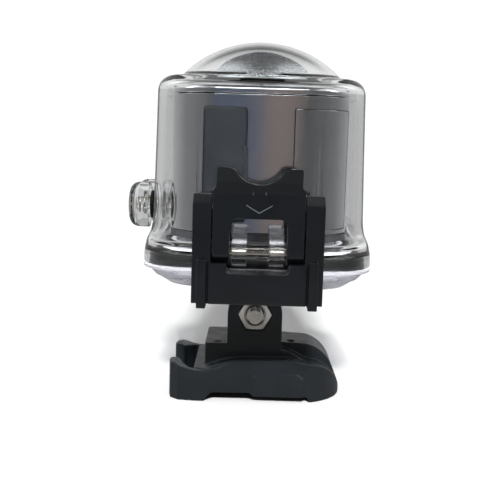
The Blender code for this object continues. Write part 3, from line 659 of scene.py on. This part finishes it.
def make_lever():
    """Thumb lever: horns and scoop on top, window over the clear knuckles, chevron and fine lines whose
    lighter grey is a painted highlight.
    """
    y, z = LEVER_PIVOT
    near = LEVER_LOW.y + 1.4
    side_view = [(near, 43.2, 0.8), (near, 58.0, 2), (near - 0.4, 61.0, 2), (near - 1.4, 64.2, 0.3),
                 (near + 0.2, 64.2, 0.3), (-36.6, 62.0, 2), (-35.2, 58.6, 2), (-33.6, 57.0, 1),
                 (-33.6, 52.6, 1), (-34.8, 50.6, 1), (-34.8, 47.6, 0.5)]
    side_view += [(u, v, 0) for u, v in arc((y, z), 2.8, 60, -120, 14)] + [(near + 1.4, 41.9, 0.6)]
    lever = prism(rounded(side_view), -LEVER_HALF, LEVER_HALF, "X")
    scoop = [(7.2, 64.2, 0.3)] + [(u, v, 0) for u, v in arc((0, 66.9), 6.7, -28, -152, 20)]
    scoop.append((-7.2, 64.2, 0.3))
    front = [(-LEVER_HALF, 40.0, 0.1), (LEVER_HALF, 40.0, 0.1), (LEVER_HALF, 59.0, 0.5), (10.1, 59.9, 0.5),
             (10.1, 64.4, 0.9)] + scoop + [(-10.1, 64.4, 0.9), (-10.1, 59.9, 0.5), (-LEVER_HALF, 59.0, 0.5)]
    common(lever, prism(rounded(front), -45, -28, "Y"))
    window = [(-6.9, 30.0, 0), (6.9, 30.0, 0), (6.9, 52.2, 2.2), (-6.9, 52.2, 2.2)]
    cut(lever, prism(rounded(window), -45, -26, "Y"))
    for side in (-1, 1):
        low, high = sorted((side * 8.9, side * 12))
        cut(lever, turned([(PIN_R + 0.12, low), (PIN_R + 0.12, high)], 28, "X", BAIL_PIVOT))
        low, high = sorted((side * 5.5, side * 10.5))
        cut(lever, turned([(PIN_R + 0.12, low), (PIN_R + 0.12, high)], 28, "X", LEVER_PIVOT))
    melt(lever, 0.14, 3)
    place(lever, "latch_thumb_lever", BLACK, "lever", "latch_black", "latch_lever", sharp=0)
    # Chevron and two fine upright lines as raised ridges, coloured lighter than the lever: their grey is a
    # painted highlight
    chevron = [(-3.1, 55.6), (0.0, 53.8), (3.1, 55.6), (3.1, 55.38), (0.0, 53.56), (-3.1, 55.38)]
    ridges = prism(chevron, near - 0.1, near + 0.5, "Y")
    for x in (-1.5, 1.5):
        join(ridges, box((x - 0.06, near - 0.08, 57.9), (x + 0.06, near + 0.5, 59.6)))
    place(ridges, "lever_ridges_painted_highlight", RIDGE_PAINTED_HIGHLIGHT, "lever", "latch_black", "latch_lever", sharp=30)


def make_bail():
    """Latch frame: two sloped arms, a bar with a recess, and two bead ribs."""
    near, back = -39.4, -31.4
    arm = [(-38.7, 31.6, 0.5), (-32.8, 31.6, 0.5), (-32.8, 56.4, 0.6), (-33.6, 57.8, 0.6),
           (-36.0, 57.8, 0.6), (-38.7, 55.6, 0.6)]
    bar = [(near, 31.6, 0.6), (-27.95, 31.6, 0.3), (-27.95, 33.5, 0.2), (-30.4, 35.95, 0.2),
           (back, 36.3, 0.2), (back, 40.3, 0.3), (-35.0, 40.3, 0.3), (-37.0, 41.5, 0.5), (near, 41.5, 0.7)]
    bail = prism(rounded(bar), -BAIL_INNER - 0.5, BAIL_INNER + 0.5, "X")
    for side in (-1, 1):
        low, high = sorted((side * BAIL_INNER, side * BAIL_HALF))
        join(bail, prism(rounded(arm), low, high, "X"))
        toe_low, toe_high = sorted((side * 9.3, side * 12.5))
        cut(bail, box((toe_low, back, 30), (toe_high, -25, 38)))
        low, high = sorted((side * 10, side * 17))
        cut(bail, turned([(PIN_R + 0.12, low), (PIN_R + 0.12, high)], 28, "X", BAIL_PIVOT))
    recess = [(-7.6, 46.0, 0), (-7.6, 39.0, 1.3), (7.6, 39.0, 1.3), (7.6, 46.0, 0)]
    cut(bail, prism(rounded(recess), -45, -25, "Y"))
    for side in (-1, 1):
        x = side * 13.3
        rib = [(-40.0, 30.6, 0.6), (-34.0, 30.6, 0.6), (-34.0, 42.6, 0), (-40.0, 42.6, 0.9)]
        join(bail, prism(rounded(rib), x - 1.1, x + 1.1, "X"))
    melt(bail, 0.14, 3)
    place(bail, "latch_frame", BLACK, "bail", "latch_black", "latch_bail", sharp=0)


# ---------------------------------------------------------------- buttons

def make_button(word):
    """Clear cap on a stem, with its seal, coil spring and clip, and the camera's own key."""
    centre = button_axis(word)
    face = span(word + "_button")[0].x
    cap = [(0.0, face), (2.6, face + 0.03), (3.9, face + 0.15), (4.8, face + 0.45), (5.45, face + 0.95),
           (5.85, face + 1.6), (6.05, face + 2.4), (6.1, face + 3.2), (6.1, face + 5.3), (5.95, face + 5.5),
           (5.25, face + 5.5), (5.1, face + 5.3), (5.1, face + 3.0), (4.9, face + 2.4), (4.2, face + 1.8),
           (1.5, face + 1.4), (1.25, face + 1.7), (1.25, -24.6), (1.05, -24.4), (0.0, -24.4)]
    place(turned(cap, 48, "X", centre), word + "_cap", CLEAR, word + "_button", "clear_polycarbonate",
          word + "_button", sharp=45)
    low, high = span(word + "_button_seal")
    seal = [(1.7, high.x), (3.6, high.x), (3.8, high.x - 0.2), (3.8, low.x + 0.2), (3.6, low.x), (1.7, low.x)]
    place(turned(seal, 40, "X", centre, closed=True), word + "_seal", RUBBER, "housing", "black_rubber",
          word + "_button_seal", sharp=50)
    low, high = span(word + "_button_clip")
    clip = [(1.5, high.x), (2.5, high.x), (2.6, high.x - 0.1), (2.6, low.x + 0.1), (2.5, low.x), (1.5, low.x)]
    place(turned(clip, 32, "X", centre, closed=True), word + "_clip", STEEL, word + "_button",
          "stainless_steel", word + "_button_clip")
    low, high = span(word + "_button_spring")
    turns, per_turn = 3.5, 20
    count = int(turns * per_turn)
    radius = (high.z - low.z) / 2 - 0.2
    coil = []
    for i in range(count + 1):
        a = math.tau * i / per_turn
        x = high.x - 0.25 + (low.x - high.x + 0.5) * i / count
        coil.append((x, centre[0] + radius * math.cos(a), centre[1] + radius * math.sin(a)))
    place(tube(coil, 0.22), word + "_spring", STEEL, "housing", "stainless_steel", word + "_button_spring")
    low, high = span(word + "_key")
    key = [(0.0, low.x), (1.7, low.x), (2.05, low.x + 0.15), (2.2, low.x + 0.45), (2.2, low.x + 2.3),
           (2.9, low.x + 2.4), (2.9, high.x), (0.0, high.x)]
    place(turned(key, 40, "X", centre), word + "_camera_key", SILVER, word + "_key", "silver_body",
          word + "_key")


# ---------------------------------------------------------------- camera

def camera_tube(low, high, inset=0.0):
    """The body's rounded square from low to high, made smaller all round by inset."""
    half, radius = CAMERA_HALF - inset, CAMERA_CORNER - inset
    return loft([(low, half, radius), (high, half, radius)], 20)


def door_blank(node, grow):
    """A rounded door outline on the near face, pushed through the wall."""
    low, high = span(node)
    right = high.x + grow
    corner = 1.3 if node == "port_door" else 0.3
    outline = [(low.x - grow, low.z - grow, corner), (right, low.z - grow, corner),
               (right, high.z + grow, corner), (low.x - grow, high.z + grow, corner)]
    return prism(rounded(outline, steps=8), -26.0, -11.0, "Y")


def make_case():
    """Silver body with its rubber port door, battery door and key holes."""
    case = camera_tube(CASE_LOW.z, CASE_HIGH.z)
    cut(case, camera_tube(CASE_LOW.z - 1, CASE_HIGH.z + 1, CAMERA_WALL))
    for node in ("port_door", "battery_door"):
        cut(case, door_blank(node, 0.12))
    for button in ("power", "mode"):
        cut(case, turned([(2.5, -26), (2.5, -21)], 32, "X", button_axis(button)))
    bevel(case, 0.12, 2, 40)
    place(case, "silver_case", SILVER, "housing", "silver_body", "camera_case", sharp=40)

    low, high = span("port_door")
    door = door_blank("port_door", -0.02)
    common(door, camera_tube(low.z - 3, high.z + 3))
    cut(door, camera_tube(low.z - 4, high.z + 4, CAMERA_WALL))
    tab = [(-4.2, 59.5, 0.3), (-3.0, 60.4, 0.5), (-3.0, 68.6, 0.5), (-4.2, 69.5, 0.3)]
    join(door, prism(rounded(tab), -CAMERA_HALF - 0.55, -CAMERA_HALF + 0.6, "Y"))
    melt(door, 0.12, 3, 0.4)
    place(door, "rubber_port_door", DOOR_RUBBER, "housing", "black_rubber", "port_door", sharp=0)

    low, high = span("battery_door")
    hatch = door_blank("battery_door", -0.02)
    common(hatch, camera_tube(low.z - 3, high.z + 3))
    cut(hatch, camera_tube(low.z - 4, high.z + 4, CAMERA_WALL))
    bevel(hatch, 0.12, 2, 40)
    place(hatch, "battery_hatch", SILVER, "housing", "silver_body", "battery_door", sharp=40)


def make_top():
    """Camera's cap with the lens opening."""
    low, high = span("camera_top")
    sections = [(low.z, CAMERA_HALF - 0.15, CAMERA_CORNER - 0.15), (low.z + 0.15, CAMERA_HALF, CAMERA_CORNER)]
    for i in range(7):
        a = math.pi / 2 * i / 6
        inset = 1.2 * (1 - math.cos(a))
        sections.append((high.z - 1.2 * (1 - math.sin(a)), CAMERA_HALF - inset, CAMERA_CORNER - inset))
    cap = loft(sections, 20)
    cut(cap, turned([(12.3, low.z - 1), (12.3, high.z + 1)], 72))
    place(cap, "silver_cap", SILVER, "housing", "silver_body", "camera_top", sharp=40)


def make_lens():
    """Turned ring like a low bell, the wide fisheye front lens on it, and the black barrel below."""
    high = span("lens_ring")[1]
    r = high.x
    base = CAP_TOP + 0.02
    lens_r, seat = 7.4, high.z - 0.35
    bell = [(lens_r + 0.25, seat), (9.4, seat - 0.85), (11.4, seat - 2.2), (13.2, seat - 4.0),
            (14.7, seat - 6.4), (r, base + 0.6)]
    profile = [(lens_r - 0.1, seat - 0.25), (lens_r + 0.1, seat)] + [tuple(v) for v in smooth(bell)]
    profile += [(r, base), (12.8, base), (12.8, 87.4)]
    ring = turned(profile, 96, closed=True)
    place(ring, "turned_ring", RING, "housing", "polished_ring", "lens_ring", sharp=35)
    top = span("front_lens")[1].z
    rise = top - seat - 0.1
    sphere = (lens_r ** 2 + rise ** 2) / (2 * rise)
    front = []
    for i in range(17):
        x = lens_r * i / 16
        front.append((x, top - sphere + math.sqrt(sphere ** 2 - x * x)))
    front += [(lens_r, seat - 0.5), (6.6, seat - 1.6), (3.2, seat - 1.1), (0.0, seat - 0.9)]
    place(turned(front, 80), "fisheye_lens", LENS, "housing", "lens_glass", "front_lens", sharp=35)
    low, high = span("lens_barrel")
    r = high.x
    bore = 10.4
    barrel = [(r, low.z), (r, high.z), (r, base + 0.6), (12.5, 87.2), (lens_r - 0.3, seat - 0.8),
              (lens_r - 1.1, seat - 1.9), (5.0, 88.0), (4.8, 86.2), (bore, 86.0), (bore, low.z)]
    lens_tube = turned(barrel, 80, closed=True)
    place(lens_tube, "lens_tube", INNER, "housing", "inner_black", "lens_barrel", sharp=35)


# ---------------------------------------------------------------- buckle and clamp

def oval(centre, across, up, steps):
    """A quarter of an ellipse, from its top down to its right end."""
    angles = [math.pi / 2 * i / steps for i in range(steps + 1)]
    return [(centre[0] + across * math.sin(a), centre[1] + up * math.cos(a)) for a in angles]


def make_buckle():
    """Quick-release buckle: arched side walls, channels, platform sloping into the nose, clamp fingers."""
    nose = oval((14.6, 0.0), 10.0, 10.7, 16)
    sole = [(15.5, 0.0), (14.6, 1.5), (0.2, 1.5), (-0.9, 2.4), (-11.0, 2.4), (-12.8, 0.8)]
    sole += [(-13.6, 0.0), (-16.5, 0.0)]
    wall = [(-16.5, 8.6), (-13.2, 8.9), (-8.6, 10.6), (-4.0, 11.4), (3.0, 11.6), (9.0, 11.6), (12.0, 11.3),
            (14.6, 10.7)]
    wall = [tuple(v) for v in smooth(wall)][:-1]
    body = prism(wall + nose + sole, -15.2, 15.2, "Y")
    plan = [(10 + (x - 10) * 0.975 if x > 10 else x, y) for x, y in arc((10.0, 0.0), 15.0, -90, 90, 36)]
    plan += [(-6.0, 15.0), (-12.0, 14.3), (-16.5, 12.2), (-16.5, -12.2), (-12.0, -14.3), (-6.0, -15.0)]
    common(body, prism(plan, -1, 20, "Z"))
    crown = [(-2.0, 6.0), (-2.0, PLATFORM_TOP), (8.0, PLATFORM_TOP)] + oval((13.5, 4.0), 9.4, 10.8, 14)
    shoulder = [(-2.0, 6.0), (-2.0, PLATFORM_TOP), (-0.5, 15.0), (3.0, 13.9), (7.7, 13.6), (10.2, 13.0),
                (15.5, 10.2), (15.5, 6.0)]
    pieces = [box((-13.6, -10.5, 6.0), (0.0, 10.5, PLATFORM_TOP), 1.2), prism(shoulder, -10.5, 10.5, "Y"),
              prism(crown, -6.8, 6.8, "Y"), box((-11.0, -8.5, 0.0), (17.0, 8.5, 3.0))]
    for side in (-1, 1):
        low, high = sorted((side * 14.0, side * 15.35))
        panel = [(-0.3, 1.6, 0.4), (13.8, 1.6, 0.4), (13.8, 6.6, 0.8), (12.0, 7.9, 0.8), (1.0, 7.9, 0.8),
                 (-0.3, 6.8, 0.6)]
        pieces.append(prism(rounded(panel), low, high, "Y"))
        pieces.append(buckle_arm(side))
    join(body, *pieces)
    arch = [(-13.6, -1.0), (-13.2, 0.4, 0.5), (-11.4, 2.4, 1.2), (-1.2, 2.5, 0.5), (0.2, 1.6, 0.5),
            (13.8, 1.6, 0.5), (15.0, 0.2), (15.2, -1.0)]
    cut(body, prism(rounded(arch, 0.3), -18, 18, "Y"))
    for side in (-1, 1):
        low, high = sorted((side * 10.8, side * 13.0))
        trench = [(-11.8, 13.0), (-11.8, 9.4), (-6.0, 9.2), (4.0, 9.6), (9.0, 10.2), (11.5, 13.0)]
        cut(body, prism(rounded(trench, 1.0), low, high, "Y"))
    join(body, *[finger(near, far, True) for near, far in FINGER_FACES])
    cut(body, hexagon(NUT_HIGH.x + 0.25, -12, -7.1))
    cut(body, turned([(BOLT_R + 0.2, -12), (BOLT_R + 0.2, 12)], 32, "Y", (0, BOLT_Z)))
    groove = [(5.9, -10.7), (6.15, -10.7), (6.15, -10.36), (5.9, -10.36)]
    cut(body, turned(groove, 64, "Y", (0, BOLT_Z), closed=True))
    for x, y, z in ((10.2, -4.6, 14.4), (-10.0, -8.4, PLATFORM_TOP)):
        cut(body, turned([(1.1, z - 0.25), (1.1, z + 3)], 32, "Z", (x, y)))
    melt(body, 0.2, 4, 0.35)
    place(body, "quick_release_buckle", CHARCOAL, "buckle", "buckle_charcoal", "buckle_body", sharp=0)


def buckle_arm(side):
    """One springy arm, hooked inward at its tip, with a thumb hollow on top."""
    outer = [(-4.0, 15.02), (-9.0, 15.05), (-15.0, 15.2), (-20.5, 14.6), (-22.8, 12.4), (-23.3, 9.6)]
    inner = [(-23.2, 7.4), (-20.6, 7.2), (-19.8, 9.6), (-17.6, 12.8), (-4.0, 11.0)]
    outline = [(x, side * y) for x, y in rounded(outer + inner, 1.0)]
    arm = prism(outline, 0.0, 10.15, "Z")
    return cut(arm, turned([(14.6, side * 20), (14.6, side * 5)], 96, "Y", (-14.5, 23.0)))


def hexagon(corner, low, high):
    """A six-sided block on the bolt's axis, with two corners level with it."""
    angles = [math.tau * i / 6 for i in range(6)]
    return prism([(corner * math.cos(a), BOLT_Z + corner * math.sin(a)) for a in angles], low, high, "Y")


def make_nut():
    """Hexagon nut with chamfered corners and a countersunk thread hole."""
    low, high = NUT_LOW.y, NUT_HIGH.y
    corner = max(NUT_HIGH.x, (NUT_HIGH.z - NUT_LOW.z) / 2)
    nut = hexagon(corner, low, high)
    cone = [(0.0, low), (corner * 0.9, low), (corner * 1.02, low + 0.45), (corner * 1.02, high - 0.2),
            (corner * 0.95, high), (0.0, high)]
    common(nut, turned(cone, 72, "Y", (0, BOLT_Z)))
    hole = [(BOLT_R + 0.75, low - 0.1), (BOLT_R + 0.15, low + 0.55), (BOLT_R + 0.15, high + 1)]
    cut(nut, turned(hole, 48, "Y", (0, BOLT_Z)))
    bevel(nut, 0.06, 2, 25)
    place(nut, "hex_nut", NUT_STEEL, "buckle", "stainless_steel", "clamp_nut", sharp=30)


def make_thumb_screw():
    """Threaded bolt with a domed end, and its lobed knob on the far side."""
    near, far = BOLT_LOW.y, BOLT_HIGH.y
    sides, pitch, depth = 40, 0.8, 0.3
    rings = []
    count = int((far - near) / pitch * 8)
    for k in range(count + 1):
        y = near + (far - near) * k / count
        ring = []
        for i in range(sides):
            phase = ((y - near) / pitch - i / sides) % 1.0
            lead = min(1.0, (y - near) / 0.7)
            r = min(BOLT_R - depth * (1 - abs(2 * phase - 1)), BOLT_R - 0.55 * (1 - lead))
            a = math.tau * i / sides
            ring.append((r * math.cos(a), y, BOLT_Z + r * math.sin(a)))
        rings.append(ring)
    bolt = rings_to_mesh(rings)
    place(bolt, "threaded_bolt", STEEL, "thumb_screw", "stainless_steel", "thumb_screw_bolt", sharp=50)

    low, high = span("thumb_screw_knob")
    rings = []
    profile = [(0.0, low.y), (0.80, low.y), (0.93, low.y + 0.4), (1.0, low.y + 1.2), (1.0, high.y - 1.6),
               (0.96, high.y - 0.6), (0.86, high.y - 0.1), (0.70, high.y), (0.62, high.y - 0.5),
               (0.0, high.y - 0.6)]
    sides = 144
    for share, y in profile:
        ring = []
        for i in range(sides):
            a = math.tau * i / sides
            r = max(share, 0.002) * (7.0 + 0.6 * math.cos(6 * a))
            r -= 0.12 * share ** 8 * (math.cos(36 * a) > 0.3)
            ring.append((r * math.cos(a), y, BOLT_Z + r * math.sin(a)))
        rings.append(ring)
    knob = rings_to_mesh(rings)
    cut(knob, turned([(BOLT_R + 0.2, low.y - 1), (BOLT_R + 0.2, low.y + 2)], 32, "Y", (0, BOLT_Z)))
    place(knob, "lobed_knob", BLACK, "thumb_screw", "latch_black", "thumb_screw_knob", sharp=40)


# ---------------------------------------------------------------- CAD nodes that keep their shape

KEPT = {
    "support_pad": "grey_silicone", "camera_base": "inner_black", "tripod_bush": "brass",
    "middle_lens": "lens_glass", "rear_lens": "lens_glass", "image_sensor": "circuit_board",
    "sensor_board": "circuit_board", "main_board": "circuit_board", "battery": "battery_wrap",
    "memory_card": "inner_black", "usb_socket": "stainless_steel", "video_socket": "stainless_steel",
    "base_screw_1": "stainless_steel", "base_screw_2": "stainless_steel", "base_screw_3": "stainless_steel",
}


def dress_kept_nodes():
    """Gives each CAD node that stays in view its own material."""
    for node, slot in KEPT.items():
        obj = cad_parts[node]
        obj.data.materials.clear()
        obj.data.materials.append(SKINS[slot])


# ---------------------------------------------------------------- studio

def camera_only(tree, seen, otherwise):
    """Shows one shader to the camera and another to every other ray."""
    path = tree.nodes.new("ShaderNodeLightPath")
    choose = tree.nodes.new("ShaderNodeMixShader")
    tree.links.new(path.outputs["Is Camera Ray"], choose.inputs["Fac"])
    tree.links.new(otherwise, choose.inputs[1])
    tree.links.new(seen, choose.inputs[2])
    return choose.outputs["Shader"]


def make_floor():
    """A white table just larger than the object, melting into the white backdrop."""
    bpy.ops.mesh.primitive_circle_add(vertices=128, radius=0.21, fill_type="NGON", location=(0, 0, 0))
    floor = bpy.context.object
    floor.name = "studio_floor"
    made, tree, shader, output = principled("floor_white")
    dark, light = (FLOOR_GREY - 0.01,) * 3, (FLOOR_GREY + 0.01,) * 3
    tree.links.new(tinted(tree, noise(tree, 6, 3), dark, light), shader.inputs["Base Color"])
    shader.inputs["Roughness"].default_value = 0.9
    shader.inputs["Specular IOR Level"].default_value = 0.0
    dull = tree.nodes.new("ShaderNodeBsdfDiffuse")
    dull.inputs["Color"].default_value = (*(FLOOR_SEEN_INDIRECTLY,) * 3, 1)
    tree.links.new(camera_only(tree, shader.outputs["BSDF"], dull.outputs["BSDF"]), output.inputs["Surface"])
    floor.data.materials.append(made)


def ramp_of(tree, value, stops):
    """A grey or coloured ramp with stops (position, colour)."""
    ramp = tree.nodes.new("ShaderNodeValToRGB")
    while len(ramp.color_ramp.elements) < len(stops):
        ramp.color_ramp.elements.new(0.5)
    for element, (position, colour) in zip(ramp.color_ramp.elements, stops):
        element.position = position
        element.color = (*colour, 1) if isinstance(colour, tuple) else (colour, colour, colour, 1)
    tree.links.new(value, ramp.inputs["Fac"])
    return ramp.outputs["Color"]


def eased(tree, value, start, end):
    """0 at start, 1 at end, smooth between."""
    made = tree.nodes.new("ShaderNodeMapRange")
    made.interpolation_type = "SMOOTHSTEP"
    made.inputs["From Min"].default_value = start
    made.inputs["From Max"].default_value = end
    tree.links.new(value, made.inputs["Value"])
    return made.outputs["Result"]


def blended(tree, factor, first, second):
    """A colour from first to second by a factor."""
    mix = tree.nodes.new("ShaderNodeMix")
    mix.data_type = "RGBA"
    tree.links.new(factor, mix.inputs["Factor"])
    tree.links.new(first, mix.inputs["A"])
    tree.links.new(second, mix.inputs["B"])
    return mix.outputs["Result"]


def make_world():
    """Light tent: bright sides and top, a grey back, and a dim front where the camera stands."""
    world = bpy.data.worlds.new("studio")
    bpy.context.scene.world = world
    world.use_nodes = True
    tree = world.node_tree
    back = tree.nodes["Background"]
    where = tree.nodes.new("ShaderNodeTexCoord")
    split = tree.nodes.new("ShaderNodeSeparateXYZ")
    tree.links.new(where.outputs["Generated"], split.inputs["Vector"])
    across = tree.nodes.new("ShaderNodeMapRange")
    across.inputs["From Min"].default_value = -1.0
    across.inputs["From Max"].default_value = 1.0
    tree.links.new(split.outputs["X"], across.inputs["Value"])
    tent = ramp_of(tree, across.outputs["Result"], TENT)
    rear_low = ramp_of(tree, across.outputs["Result"], REAR)
    rear_high = ramp_of(tree, across.outputs["Result"], REAR_HIGH)
    rear = blended(tree, eased(tree, split.outputs["Z"], 0.06, 0.13), rear_low, rear_high)
    front = ramp_of(tree, across.outputs["Result"], FRONT)
    colour = blended(tree, eased(tree, split.outputs["Y"], -0.3, 0.4), front, rear)
    colour = blended(tree, eased(tree, split.outputs["Z"], 0.3, 0.6), colour, tent)
    tree.links.new(colour, back.inputs["Color"])
    back.inputs["Strength"].default_value = TENT_POWER
    white = tree.nodes.new("ShaderNodeBackground")
    white.inputs["Color"].default_value = (1.1, 1.1, 1.1, 1)
    tree.links.new(camera_only(tree, white.outputs["Background"], back.outputs["Background"]),
                   tree.nodes["World Output"].inputs["Surface"])


def make_lamp(name, spot, aim=(0, 0, 0.06)):
    """A softbox that points at the object and isn't seen itself."""
    data = bpy.data.lights.new(name, "AREA")
    data.shape = "RECTANGLE"
    data.size, data.size_y = LAMP_SIZE
    data.energy = LAMP_POWER
    lamp = bpy.data.objects.new(name, data)
    bpy.context.scene.collection.objects.link(lamp)
    lamp.location = spot
    lamp.rotation_euler = (Vector(aim) - Vector(spot)).to_track_quat("-Z", "Y").to_euler()
    lamp.visible_camera = False


def make_sun():
    """Broad soft light from the front, for the shadow behind the object."""
    data = bpy.data.lights.new("front_light", "SUN")
    data.energy = SUN_POWER
    data.angle = math.radians(SUN_ANGLE)
    lamp = bpy.data.objects.new("front_light", data)
    bpy.context.scene.collection.objects.link(lamp)
    lamp.rotation_euler = (math.radians(90 - SUN_HEIGHT), 0, 0)
    lamp.visible_glossy = False
    lamp.visible_camera = False


def make_camera():
    """The camera: a little above the object, looking slightly down, with its horizon rolled."""
    distance, aside, height = 0.230, -0.0019, 0.0694
    pitch, roll = math.radians(7.31), math.radians(1.67)
    data = bpy.data.cameras.new("camera")
    data.sensor_width = 36.0
    data.lens = 58.68
    data.clip_start = 0.01
    camera = bpy.data.objects.new("camera", data)
    bpy.context.scene.collection.objects.link(camera)
    turn = Matrix.Rotation(math.pi / 2 - pitch, 4, "X") @ Matrix.Rotation(roll, 4, "Z")
    camera.matrix_world = Matrix.Translation((aside, -distance, height)) @ turn
    bpy.context.scene.camera = camera


make_shell()
make_cover()
make_gasket()
pin("latch_axle", "latch_pin", "housing")
pin("hinge_axle", "hinge_pin", "cover")
pin("frame_pin_left", "bail_pin_left", "lever")
pin("frame_pin_right", "bail_pin_right", "lever")
make_lever()
make_bail()
make_button("power")
make_button("mode")
make_case()
make_top()
make_lens()
make_buckle()
make_nut()
make_thumb_screw()
dress_kept_nodes()
make_floor()
make_world()
make_lamp("left_softbox", (-0.42, -0.12, 0.38))
make_lamp("right_softbox", (0.42, -0.12, 0.38))
make_sun()
make_camera()
bpy.context.scene.view_settings.view_transform = "Standard"
